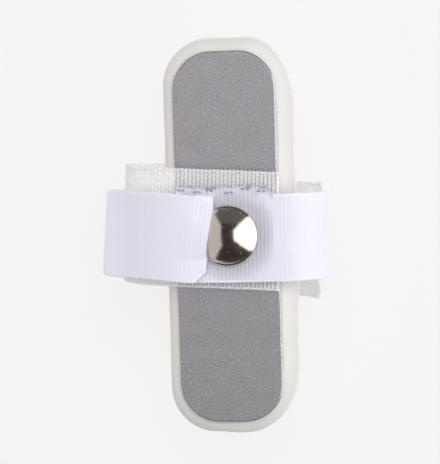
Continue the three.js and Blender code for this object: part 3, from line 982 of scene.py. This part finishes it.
def woven_relief_tree():
    """Raises crosswise ribs and rows of dots on a strip. Its points hold their distance along, their
    place across, and how strongly the weave shows there."""
    tree, given, result = start_geometry_tree(
        "Woven relief", (), ("Rib Pitch", "Dot Pitch", "Line Pitch", "Relief")
    )
    take = given.outputs
    weave = add_node(tree, "GeometryNodeInputNamedAttribute", {"Name": "weave"}, data_type="FLOAT_VECTOR")
    along, across, strength = add_node(tree, "ShaderNodeSeparateXYZ", {0: weave}).outputs
    ribs = add_node(tree, "ShaderNodeMath", {0: along, 1: take["Rib Pitch"]}, operation="DIVIDE")
    rib = add_node(tree, "ShaderNodeMath", {0: ribs, 1: math.pi}, operation="MULTIPLY")
    rib = add_node(tree, "ShaderNodeMath", {0: rib}, operation="SINE")
    rib = add_node(tree, "ShaderNodeMath", {0: rib}, operation="ABSOLUTE")
    # Dots lie half a step apart on each next rib.
    rib_number = add_node(tree, "ShaderNodeMath", {0: ribs}, operation="FLOOR")
    dots = add_node(tree, "ShaderNodeMath", {0: across, 1: take["Dot Pitch"]}, operation="DIVIDE")
    dots = add_node(tree, "ShaderNodeMath", {0: dots, 1: math.pi}, operation="MULTIPLY")
    inputs = {0: rib_number, 1: math.pi / 2, 2: dots}
    dots = add_node(tree, "ShaderNodeMath", inputs, operation="MULTIPLY_ADD")
    dots = add_node(tree, "ShaderNodeMath", {0: dots}, operation="SINE")
    dots = add_node(tree, "ShaderNodeMath", {0: dots, 1: 0.3}, operation="MULTIPLY")
    # Thin lines run along the strip, pressed in.
    line = add_node(tree, "ShaderNodeMath", {0: across, 1: take["Line Pitch"]}, operation="DIVIDE")
    line = add_node(tree, "ShaderNodeMath", {0: line, 1: math.pi}, operation="MULTIPLY")
    line = add_node(tree, "ShaderNodeMath", {0: line}, operation="COSINE")
    line = add_node(tree, "ShaderNodeMath", {0: line}, operation="ABSOLUTE")
    line = add_node(tree, "ShaderNodeMath", {0: line, 1: 24}, operation="POWER")
    fine = add_node(tree, "ShaderNodeMath", {0: dots, 1: rib}, operation="MULTIPLY")
    fine = add_node(tree, "ShaderNodeMath", {0: line, 1: -0.3, 2: fine}, operation="MULTIPLY_ADD")
    height = add_node(tree, "ShaderNodeMath", {0: rib, 1: fine}, operation="ADD")
    height = add_node(tree, "ShaderNodeMath", {0: height, 1: 0.6}, operation="SUBTRACT")
    height = add_node(tree, "ShaderNodeMath", {0: height, 1: strength}, operation="MULTIPLY")
    height = add_node(tree, "ShaderNodeMath", {0: height, 1: take["Relief"]}, operation="MULTIPLY")
    normal = add_node(tree, "GeometryNodeInputNormal")
    offset = add_node(tree, "ShaderNodeVectorMath", {0: normal, 3: height}, operation="SCALE")
    raised = add_node(tree, "GeometryNodeSetPosition", {"Geometry": take["Geometry"], "Offset": offset})
    finish_geometry_tree(tree, raised, given, result)
    return tree


def stitches_tree():
    """Sets pairs of short stitches along a strip, each next pair to the other side. The second stitch
    of a pair is the shorter one."""
    tree, given, result = start_geometry_tree(
        "Stitches",
        ("Pairs", "Seed"),
        ("Start", "Pitch", "Gap", "Across", "Zigzag", "Length", "Radius", "Lift", "Uneven"),
    )
    take = given.outputs
    steps = 6
    count = add_node(tree, "ShaderNodeMath", {0: take["Pairs"], 1: 2}, operation="MULTIPLY")
    stitches, number, step = curve_copies(tree, count, steps + 1)
    pair = add_node(tree, "ShaderNodeMath", {0: number, 1: 2}, operation="DIVIDE")
    pair = add_node(tree, "ShaderNodeMath", {0: pair}, operation="FLOOR")
    second = add_node(tree, "ShaderNodeMath", {0: number, 1: 2}, operation="MODULO")
    other_side = add_node(tree, "ShaderNodeMath", {0: pair, 1: 2}, operation="MODULO")
    inputs = {0: (-1, -1, -1), 1: (1, 1, 1), "ID": number, "Seed": take["Seed"]}
    random = add_node(tree, "FunctionNodeRandomValue", inputs, data_type="FLOAT_VECTOR")
    loose = add_node(tree, "ShaderNodeSeparateXYZ", {0: random}).outputs
    slip = add_node(tree, "ShaderNodeMath", {0: loose["X"], 1: take["Uneven"]}, operation="MULTIPLY")
    wander = add_node(tree, "ShaderNodeMath", {0: loose["Y"], 1: take["Uneven"]}, operation="MULTIPLY")
    wander = add_node(tree, "ShaderNodeMath", {0: wander, 1: 0.6}, operation="MULTIPLY")
    part = add_node(tree, "ShaderNodeMath", {0: step, 1: steps}, operation="DIVIDE")
    shorter = add_node(tree, "ShaderNodeMath", {0: second, 1: 0.45}, operation="MULTIPLY")
    shorter = add_node(tree, "ShaderNodeMath", {0: 1, 1: shorter}, operation="SUBTRACT")
    span = add_node(tree, "ShaderNodeMath", {0: part, 1: take["Length"]}, operation="MULTIPLY")
    span = add_node(tree, "ShaderNodeMath", {0: span, 1: shorter}, operation="MULTIPLY")
    gap = add_node(tree, "ShaderNodeMath", {0: second, 1: take["Gap"]}, operation="MULTIPLY")
    along = add_node(tree, "ShaderNodeMath", {0: pair, 1: take["Pitch"]}, operation="MULTIPLY")
    for further in (take["Start"], gap, slip, span):
        along = add_node(tree, "ShaderNodeMath", {0: along, 1: further}, operation="ADD")
    across = add_node(tree, "ShaderNodeMath", {0: other_side, 1: take["Zigzag"]}, operation="MULTIPLY")
    for further in (take["Across"], wander):
        across = add_node(tree, "ShaderNodeMath", {0: across, 1: further}, operation="ADD")
    place = add_node(tree, "ShaderNodeCombineXYZ", {0: along, 1: across})
    bow = add_node(tree, "ShaderNodeMath", {0: part, 1: math.pi}, operation="MULTIPLY")
    bow = add_node(tree, "ShaderNodeMath", {0: bow}, operation="SINE")
    lift = add_node(tree, "ShaderNodeMath", {0: bow, 1: 0.6}, operation="SUBTRACT")
    lift = add_node(tree, "ShaderNodeMath", {0: lift, 1: take["Radius"]}, operation="MULTIPLY")
    lift = add_node(tree, "ShaderNodeMath", {0: lift, 1: take["Lift"]}, operation="ADD")
    tubes = lay_tubes(tree, take["Geometry"], stitches, place, lift, take["Radius"], 8)
    finish_geometry_tree(tree, tubes, given, result)
    return tree


# Pieces


def make_plate():
    """The flat plate: a blanked sheet with rolled edges and a hole for the rivet."""
    around = 320
    edge = sizes().plate_edge
    half_width, half_length = PLATE_HIGH.x, PLATE_HIGH.y
    outline = rounded_outline(half_width, half_length, PLATE_CORNERS, around)
    bearing = np.arctan2(outline[:, 1] - RIVET.y, outline[:, 0] - RIVET.x)
    hole = np.array(RIVET) + RIVET_HOLE * np.stack([np.cos(bearing), np.sin(bearing)], 1)
    shares = [*np.linspace(0, 0.92, 22), 0.96, 0.98, 0.99, 1]
    turns = np.linspace(math.pi / 2, -math.pi / 2, 9)
    profile = [(share, edge, PLATE_HIGH.z) for share in shares[:-1]]
    for turn in turns:
        middle = PLATE_HIGH.z - edge if turn > 0 else PLATE_LOW.z + edge
        profile.append((1, edge * (1 - math.cos(turn)), middle + edge * math.sin(turn)))
    profile += [(share, edge, PLATE_LOW.z) for share in shares[-2::-1]]
    rings = []
    for share, inset, height in profile:
        rim = outline * (1 - inset / half_width, 1 - inset / half_length)
        ring = hole * (1 - share) + rim * share
        rings.append(np.column_stack([ring, np.full(around, height)]))
    rings = np.array(rings)
    x, y, z = rings[..., 0], rings[..., 1], rings[..., 2]
    # The mask for the painted shade along the plate's edges, which leaves out the right side.
    cut = fade(z, PLATE_HIGH.z, PLATE_HIGH.z - 0.5 * edge) * (x < half_width - 2 * edge)
    z += 0.025 * MM * ripples(x, y, 9 * MM, 11)
    faces = loft_faces(len(rings), around, closed=True)
    plate = make_object("plate", rings, faces, aluminium_material(), {"cut": np.stack([cut] * 3, -1)})
    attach(plate, BODY)
    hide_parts("splint_plate")


def foam_outline(half_width, half_length, around):
    """The outline that the pad and its lining are cut to by hand: a little short at its upper end,
    narrow on its right side, wide on its left and cut away at its lower right."""
    outline = rounded_outline(half_width, half_length, FOAM_CORNERS, around)
    across, along = outline[:, 0] / half_width, outline[:, 1] / half_length
    outline[:, 0] -= (FOAM_CUT_RIGHT - FOAM_CUT_TAPER * along) * fade(across, 0, 1)
    outline[:, 0] -= FOAM_WIDE_LEFT * fade(across, 0, -1)
    outline[:, 1] -= FOAM_CUT_SHORT * fade(along, 0, 1)
    outline[:, 1] += FOAM_CUT_LOW * fade(along, 0, -1) * fade(across, 0, 0.5)
    return outline


def make_foam(around=400):
    """The foam pad under the plate, with a pocket for the rivet's flange."""
    half_width, half_length = FOAM_HIGH.x, FOAM_HIGH.y
    outline = foam_outline(half_width, half_length, around)
    side_overhang, end_overhang = half_width - PLATE_HIGH.x, half_length - PLATE_HIGH.y
    thickness = FOAM_HIGH.z - FOAM_LOW.z
    side = np.array(FOAM_SIDE)
    levels = np.linspace(0, 1, 26)
    insets = np.interp(levels, side[:, 0], side[:, 1])
    insets = np.convolve(np.pad(insets, 1, mode="edge"), (0.25, 0.5, 0.25), mode="valid")
    spread = np.linspace(0.04, 1, 26)[:-1]
    profile = [(share, insets[0], 0) for share in spread]
    profile += [(1, inset, level) for inset, level in zip(insets, levels)]
    profile += [(share, insets[-1], 1) for share in spread[::-1]]
    rings = []
    for share, inset, level in profile:
        narrow = (1 - inset * side_overhang / half_width, 1 - inset * end_overhang / half_length)
        ring = outline * narrow * share
        rings.append(np.column_stack([ring, np.full(around, FOAM_LOW.z + level * thickness)]))
    rings = np.array(rings)
    x, y, z = rings[..., 0], rings[..., 1], rings[..., 2]
    on_side = np.clip(np.minimum(z - FOAM_LOW.z, FOAM_HIGH.z - z) / (0.8 * MM), 0, 1)
    swell = 1 + 0.006 * on_side * ripples(x + z, y, 7 * MM, 21)
    rings[..., 0] *= swell
    rings[..., 1] *= swell
    from_rivet = np.hypot(x - RIVET.x, y - RIVET.y)
    pocket = np.clip((POCKET_RADIUS - from_rivet) / POCKET_SLOPE, 0, 1) * (z > FOAM_HIGH.z - 0.1 * MM)
    rings[..., 2] -= POCKET_DEPTH * pocket
    tips = [[0, 0, FOAM_LOW.z], [0, 0, FOAM_HIGH.z - POCKET_DEPTH]]
    points = np.concatenate([rings.reshape(-1, 3), tips])
    faces = loft_faces(len(rings), around)
    foam = make_object("foam", points, faces, foam_material())
    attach(foam, BODY)
    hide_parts("foam_pad")


def make_lining(around=400):
    """The lining on the finger side of the pad, cut a little past the foam."""
    centre = (LINING_LOW + LINING_HIGH) / 2
    half = (LINING_HIGH - LINING_LOW) / 2
    outline = foam_outline(half.x, half.y, around)
    turns = np.linspace(-math.pi / 2, math.pi / 2, 7)
    spread = np.linspace(0.04, 1, 30)[:-1]
    profile = [(share, half.z, -half.z) for share in spread]
    profile += [(1, half.z * (1 - math.cos(turn)), half.z * math.sin(turn)) for turn in turns]
    profile += [(share, half.z, half.z) for share in spread[::-1]]
    rings = []
    for share, inset, lift in profile:
        ring = outline * (1 - inset / half.x, 1 - inset / half.y) * share
        rings.append(np.column_stack([ring + centre[:2], np.full(around, centre.z + lift)]))
    rings = np.array(rings)
    edge = np.clip((np.abs(rings[..., 0] - centre.x) / half.x) ** 8, 0, 1)
    rings[..., 0] *= 1 + 0.005 * edge * ripples(rings[..., 1], rings[..., 2], 3 * MM, 31)
    rings[..., 2] += 0.05 * MM * ripples(rings[..., 0], rings[..., 1], 3 * MM, 32)
    tips = [[centre.x, centre.y, LINING_LOW.z], [centre.x, centre.y, LINING_HIGH.z]]
    points = np.concatenate([rings.reshape(-1, 3), tips])
    faces = loft_faces(len(rings), around)
    cloth = cloth_material("Brushed polyester knit", colours().lining, 0.7 * MM, 0.15 * MM, 0.05, 0.25)
    lining = make_object("lining", points, faces, cloth)
    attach(lining, BODY)
    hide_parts("pad_lining")


def make_band():
    """The band: crosswise ribs and finer threads woven along through them, over a backing sheet. The sheet
    hides the shade behind the open weave, and over the plate it is painted grey for the plate and the
    shade in the holes.
    """
    strip = Strip(band_path(), BAND_WIDTH, BAND_COURSE, 41, flare=BAND_FLARE)
    length = strip.path.length
    base = tuple(colours().band)
    # The yarn is greyed over the plate by painted shade.
    yarn = band_material("Band yarn", base, linear_rgb("#eeeef0"))
    # The backing is painted grey over the plate, and cream with a painted glow elsewhere.
    painted_backing = band_material("Elastic yarn ground", base, linear_rgb("#bdc0c5"))
    steps = 400
    section = strip_section(BAND_WIDTH - BAND_CORE_NARROW, BAND_CORE, 24, 0.1 * MM)
    count = len(section)
    distance = np.repeat(np.linspace(BAND_CORE_SHORT, length - BAND_CORE_SHORT, steps + 1), count)
    across, lift = np.tile(section.T, steps + 1)
    points = strip.place(distance, across * (1 - BAND_CORE_NARROW / BAND_WIDTH), lift - BAND_CORE_SINK)
    faces = loft_faces(steps + 1, count, paired=True)
    pieces = [make_object("band_core", points, faces, painted_backing)]
    tree = woven_cords_tree()
    ribs = round(length / sizes().band_rib)
    threads = round(BAND_WIDTH / sizes().band_thread)
    cords = {
        "band_ribs": {
            "Cords": ribs,
            "Crossings": threads,
            "Lengthwise": 0.0,
            "Radius": 0.31 * MM,
            "Edge Radius": 0.05 * MM,
            "Swell": -0.12,
            "Rise": 0.2 * MM,
            "Slant": 0.0,
            "Uneven": 0.04,
            "Sides": 5,
            "Seed": 1,
        },
        "band_threads": {
            "Cords": threads,
            "Crossings": ribs,
            "Lengthwise": 1.0,
            "Radius": 0.15 * MM,
            "Edge Radius": 0.16 * MM,
            "Swell": 0.25,
            "Rise": 0.22 * MM,
            "Slant": 0.6,
            "Uneven": 0.05,
            "Sides": 4,
            "Seed": 2,
        },
    }
    for name, values in cords.items():
        piece = strip_guide(name, strip, 320, 12, yarn)
        run_geometry_tree(piece, tree, {**values, "Material": yarn})
        pieces.append(piece)
    for piece in pieces:
        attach(piece, BODY)
        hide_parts("finger_band")


def strip_section(width, thickness, lanes, corner):
    """A strip's cross-section as rows of place across and lift: the outer face from one edge to the
    other, then the inner face back. The edges are rounded."""
    flat = 0.5 - corner / width
    half = thickness / 2
    turns = np.linspace(0, math.pi / 2, 4)[1:]
    outer = [(a, half) for a in np.linspace(-flat, flat, lanes)]
    right = [(flat + corner / width * math.sin(t), half - corner * (1 - math.cos(t))) for t in turns]
    left = [(-a, lift) for a, lift in right[::-1]]
    top = left + outer + right
    return np.array(top + [(a, -lift) for a, lift in top[::-1]])


def make_strap_strip():
    """The strap's strip, which its tape and its stitches share."""
    path = strap_path()
    return Strip(path, STRAP_WIDTH, STRAP_COURSE, 51, STRAP_HEM, STRAP_HEM_LENGTH, waist=STRAP_WAIST)


def make_strap():
    """The closing strap: a closely woven tape whose tail is clipped at its corners."""
    strip = make_strap_strip()
    material = strap_material()
    length = strip.path.length
    steps = 4 * round(length / sizes().strap_rib)
    section = strip_section(STRAP_WIDTH, STRAP_THICKNESS, 68, 0.3 * MM)
    count = len(section)
    clip = np.array(STRAP_CLIP)
    shorter = np.interp(section[:, 0], clip[:, 0], clip[:, 1]) * STRAP_WIDTH
    shares = np.linspace(0, 1, steps + 1)
    # The clip only draws in the last stretch, so that the ribs before it stay straight.
    drawn_in = np.clip((shares - 0.93) / 0.07, 0, 1)
    distance = (shares[:, None] * length - drawn_in[:, None] * shorter[None, :]).ravel()
    to_end = length - distance
    across, lift = np.tile(section.T, steps + 1)
    points = strip.place(distance, across, lift)
    past_crease = (across - FOLD_FROM) * STRAP_WIDTH - to_end / FOLD_RUN

    # The weave shows most where the strap is stretched by the rivet, and least on its tail, at the
    # right side and past the crease. It fades out at both ends and leaves the edges smooth.
    # The same strength paints shade into the strap's colour: darker where it is high, lighter where it is
    # low.
    x, y, z = points.T
    from_rivet = np.hypot(x - RIVET.x, y - RIVET.y)
    in_hem = distance < STRAP_HEM_LENGTH
    stretched = fade(from_rivet, 12 * MM, 7 * MM) * (z > PLATE_TOP) * in_hem
    up = fade(z, 4 * MM, 13 * MM)
    far_right = fade(x, 12 * MM, 18 * MM) * up
    tail = (distance > length / 2) * up * (0.3 + 0.3 * fade(x, -20 * MM, -26 * MM))
    smooth = fade(past_crease, 0.2 * MM, 0)
    walked = np.repeat(shares, count) * length
    near_end = fade(np.minimum(walked, length - walked), 0, 1.5 * MM)
    on_face = np.abs(across) < 0.48
    strength = (1 + 2 * stretched - 0.4 * far_right - tail) * near_end * on_face * smooth
    strength = np.maximum(strength, 2 * fade(across, 0.42, 0.46) * in_hem * near_end)
    weave = np.stack([distance, across * STRAP_WIDTH, strength], 1)

    points[:, 2] -= FOLD_SLOPE * np.clip(past_crease, 0, None)
    points[:, 2] -= CORNER_PRESS * fade(across, -0.3, -0.42) * fade(to_end, TAIL_PRESSED, 0)
    faces = loft_faces(steps + 1, count, paired=True)
    strap = make_object("strap", points, faces, material, {"weave": weave})
    values = {
        "Rib Pitch": sizes().strap_rib,
        "Dot Pitch": sizes().strap_thread,
        "Line Pitch": STRAP_LINE_PITCH,
        "Relief": sizes().strap_relief,
        "Material": material,
    }
    run_geometry_tree(strap, woven_relief_tree(), values)
    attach(strap, BODY)
    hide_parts("closing_strap")


def make_stitches():
    """The seam along the strap's upper hem: a zigzag of pairs of short stitches."""
    strip = make_strap_strip()
    length = strip.path.length
    # The thread's colour carries painted shade of its holes and its shadow.
    thread = cloth_material("Sewing thread", colours().stitch, 0.2 * MM, 0.04 * MM, 0.1, 0.1)
    seam = strip_guide("seam_stitches", strip, 640, 40, thread)
    values = {
        "Pairs": 6,
        "Start": 0.3 * MM / length,
        "Pitch": sizes().stitch_pitch / length,
        "Gap": 1.25 * MM / length,
        "Across": 0.985,
        "Zigzag": -0.02,
        "Length": 0.6 * MM / length,
        "Radius": 0.24 * MM,
        "Lift": STRAP_THICKNESS / 2 + 0.05 * MM,
        "Uneven": 0.0015,
        "Seed": 3,
        "Material": thread,
    }
    run_geometry_tree(seam, stitches_tree(), values)
    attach(seam, BODY)


def make_dome():
    """The pressed cap: a shallow dome with a rolled rim, open underneath."""
    around = 160
    inner_radius = CAP_RADIUS - DOME_SHELL
    profile = [(r, dome_surface(r)) for r in CAP_RADIUS * np.linspace(0.02, 1, 90)]
    for turn in np.linspace(math.pi / 2, -math.pi / 2, 14)[1:]:
        profile.append((CAP_RADIUS + DOME_RIM * math.cos(turn), DOME_RIM * (1 + math.sin(turn))))
    profile.append((inner_radius, 0))
    profile += [(r, dome_surface(r) - DOME_SHELL) for r in inner_radius * np.linspace(1, 0.02, 20)]
    angles = np.linspace(0, 2 * math.pi, around, endpoint=False)
    rings = []
    for radius, height in profile:
        x, y = RIVET.x + radius * np.cos(angles), RIVET.y + radius * np.sin(angles)
        rings.append(np.column_stack([x, y, np.full(around, DOME_LOW.z + height)]))
    rings = np.array(rings)
    top = DOME_LOW.z + dome_surface(0)
    tips = [[*RIVET, top], [*RIVET, top - DOME_SHELL]]
    points = np.concatenate([rings.reshape(-1, 3), tips])
    faces = loft_faces(len(rings), around)
    dome = make_object("dome", points, faces, nickel_material())
    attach(dome, BODY)
    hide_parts("dome_cap")


def finish_rivet():
    """The hidden rivet keeps its construction mesh, in turned steel."""
    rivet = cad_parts["rivet_post"]
    rivet.data.materials.clear()
    rivet.data.materials.append(steel_material())


# Stage

# The photo's frame and the camera's place: its tilts from straight above, its distance, and how its
# aim lies off the plate's middle. Then the floor's reach from its middle, and its drop below zero.
PHOTO_WIDTH = 440
MM_PER_PIXEL = 0.2153
SENSOR_WIDTH = 36
CAMERA_DISTANCE = 430 * MM
CAMERA_TILT_RIGHT = math.radians(10)
CAMERA_TILT_TOP = math.radians(3)
CAMERA_ROLL = math.radians(1.63)
AIM_RIGHT = -1.636 * MM
AIM_UP = 1.14 * MM
FLOOR_REACH = 1.5
FLOOR_DROP = 0.2 * MM


def make_camera():
    """The camera in the photo's place, with its tilt and its roll."""
    away = Vector((math.tan(CAMERA_TILT_RIGHT), math.tan(CAMERA_TILT_TOP), 1)).normalized()
    right = Vector((0, 1, 0)).cross(away).normalized()
    up = away.cross(right)
    level = Matrix((right, up, away)).transposed()
    turned = level @ Matrix.Rotation(-CAMERA_ROLL, 3, "Z")
    target = Vector((0, 0, PLATE_TOP)) + turned @ Vector((AIM_RIGHT, AIM_UP, 0))
    data = bpy.data.cameras.new("camera")
    data.sensor_width = SENSOR_WIDTH
    data.sensor_fit = "HORIZONTAL"
    data.lens = SENSOR_WIDTH * CAMERA_DISTANCE / (PHOTO_WIDTH * MM_PER_PIXEL * MM)
    camera = add_object("camera", data)
    camera.matrix_world = Matrix.Translation(target + away * CAMERA_DISTANCE) @ turned.to_4x4()
    bpy.context.scene.camera = camera


def add_light(name, azimuth, elevation, distance, upright, size, power, colour, reflected):
    """A soft rectangular light. Azimuth 0 is at +X and 90 at +Y. It stands upright or faces the splint,
    and it either lights the pieces or only shows in their reflections."""
    data = bpy.data.lights.new(name, "AREA")
    data.shape = "RECTANGLE"
    data.size, data.size_y = size
    data.energy = power
    data.color = linear_rgb(colour)
    turn, rise = math.radians(azimuth), math.radians(elevation)
    level = Vector((math.cos(turn), math.sin(turn), 0))
    towards = level * math.cos(rise) + Vector((0, 0, math.sin(rise)))
    light = add_object(name, data)
    light.location = Vector((0, 0, PLATE_TOP)) + towards * distance
    light.rotation_euler = (level if upright else towards).to_track_quat("Z", "Y").to_euler()
    light.visible_diffuse = not reflected
    light.visible_glossy = reflected


# Columns: name, azimuth, elevation, distance, stands upright, width and height, power, colour, only
# shows in reflections.
LIGHTS = (
    ("right_softbox", -8, 38, 0.6, False, (0.94, 0.9), 2.8, "#ffffff", False),
    ("left_panel", 181, 30, 0.6, False, (1.65, 0.97), 2.25, "#ffffff", False),
    ("far_fill", 80, 55, 0.6, False, (0.5, 0.4), 1.35, "#ffffff", False),
    ("top_fill", 0, 89, 0.6, False, (0.6, 0.6), 0.95, "#ffffff", False),
    ("right_reflection", 2, 61, 1.14, True, (1.05, 2), 14, "#ffffff", True),
    ("left_reflection", 181, 50, 0.86, True, (1.5, 1.32), 4.3, "#fffaf8", True),
    ("far_reflection", 90, 30, 0.6, True, (1.2, 0.8), 0.3, "#ffffff", True),
)


def make_stage():
    """The pale floor, the camera, the lights and the world, whose walls are pale to the camera, brown in
    reflections and nearly black to the pieces' shading."""
    bpy.context.scene.view_settings.view_transform = "Standard"
    world = bpy.data.worlds.new("studio")
    bpy.context.scene.world = world
    world.use_nodes = True
    tree = world.node_tree
    background = tree.nodes["Background"]
    seen = add_node(tree, "ShaderNodeLightPath")
    walls = {"Is Camera Ray": shade(linear_rgb("#f5f5f5")), "Is Glossy Ray": shade(linear_rgb("#413833"))}
    colour = (0.03, 0.03, 0.03, 1)
    for ray, wall in walls.items():
        inputs = {0: seen.outputs[ray], 6: colour, 7: wall}
        colour = add_node(tree, "ShaderNodeMix", inputs, data_type="RGBA")
    set_inputs(tree, background, {"Color": colour})
    corners = ((-1, -1), (1, -1), (1, 1), (-1, 1))
    vertices = [(x * FLOOR_REACH, y * FLOOR_REACH, -FLOOR_DROP) for x, y in corners]
    material, tree, shader = start_material("Pale floor")
    set_inputs(
        tree,
        shader,
        {
            "Base Color": (0.15, 0.15, 0.15, 1),
            "Roughness": 1,
            "Specular IOR Level": 0,
            "Emission Color": shade(linear_rgb("#ffffff")),
            "Emission Strength": 0.78,
        },
    )
    floor = make_object("floor", vertices, [[0, 1, 2, 3]], material)
    make_camera()
    for light in LIGHTS:
        add_light(*light)


class SPLINT_OT_plate(bpy.types.Operator):
    """Make the aluminium plate"""

    bl_idname = "splint.plate"
    bl_label = "Plate"

    def execute(self, context):
        make_plate()
        return {"FINISHED"}


class SPLINT_OT_pad(bpy.types.Operator):
    """Make the foam pad and its lining"""

    bl_idname = "splint.pad"
    bl_label = "Pad"

    def execute(self, context):
        make_foam()
        make_lining()
        return {"FINISHED"}


class SPLINT_OT_band(bpy.types.Operator):
    """Make the open woven band"""

    bl_idname = "splint.band"
    bl_label = "Band"

    def execute(self, context):
        make_band()
        return {"FINISHED"}


class SPLINT_OT_strap(bpy.types.Operator):
    """Make the closing strap and its seam"""

    bl_idname = "splint.strap"
    bl_label = "Strap"

    def execute(self, context):
        make_strap()
        make_stitches()
        return {"FINISHED"}


class SPLINT_OT_rivet(bpy.types.Operator):
    """Make the domed cap and finish the rivet"""

    bl_idname = "splint.rivet"
    bl_label = "Rivet"

    def execute(self, context):
        make_dome()
        finish_rivet()
        return {"FINISHED"}


class SPLINT_OT_stage(bpy.types.Operator):
    """Make the floor, the lights and the camera"""

    bl_idname = "splint.stage"
    bl_label = "Stage"

    def execute(self, context):
        make_stage()
        return {"FINISHED"}


OPERATORS = (
    SPLINT_OT_plate,
    SPLINT_OT_pad,
    SPLINT_OT_band,
    SPLINT_OT_strap,
    SPLINT_OT_rivet,
    SPLINT_OT_stage,
)


class SPLINT_PT_panel(bpy.types.Panel):
    """Lists the splint's sizes, colours and pieces"""

    bl_label = "Finger splint"
    bl_idname = "SPLINT_PT_panel"
    bl_space_type = "VIEW_3D"
    bl_region_type = "UI"
    bl_category = "Splint"

    def draw(self, context):
        for group in (context.scene.splint_sizes, context.scene.splint_colours):
            for name in group.__annotations__:
                self.layout.prop(group, name)
        for operator in OPERATORS:
            self.layout.operator(operator.bl_idname)


CLASSES = (SplintSizes, SplintColours, *OPERATORS, SPLINT_PT_panel)


def register():
    """Adds the splint's classes and properties to Blender."""
    for kind in CLASSES:
        bpy.utils.register_class(kind)
    bpy.types.Scene.splint_sizes = bpy.props.PointerProperty(type=SplintSizes)
    bpy.types.Scene.splint_colours = bpy.props.PointerProperty(type=SplintColours)


def unregister():
    """Takes the splint's classes and properties out again."""
    del bpy.types.Scene.splint_colours
    del bpy.types.Scene.splint_sizes
    for kind in reversed(CLASSES):
        bpy.utils.unregister_class(kind)


def main():
    """Makes the splint and the stage."""
    register()
    bpy.ops.splint.plate()
    bpy.ops.splint.pad()
    bpy.ops.splint.band()
    bpy.ops.splint.strap()
    bpy.ops.splint.rivet()
    bpy.ops.splint.stage()


if __name__ == "__main__":
    main()
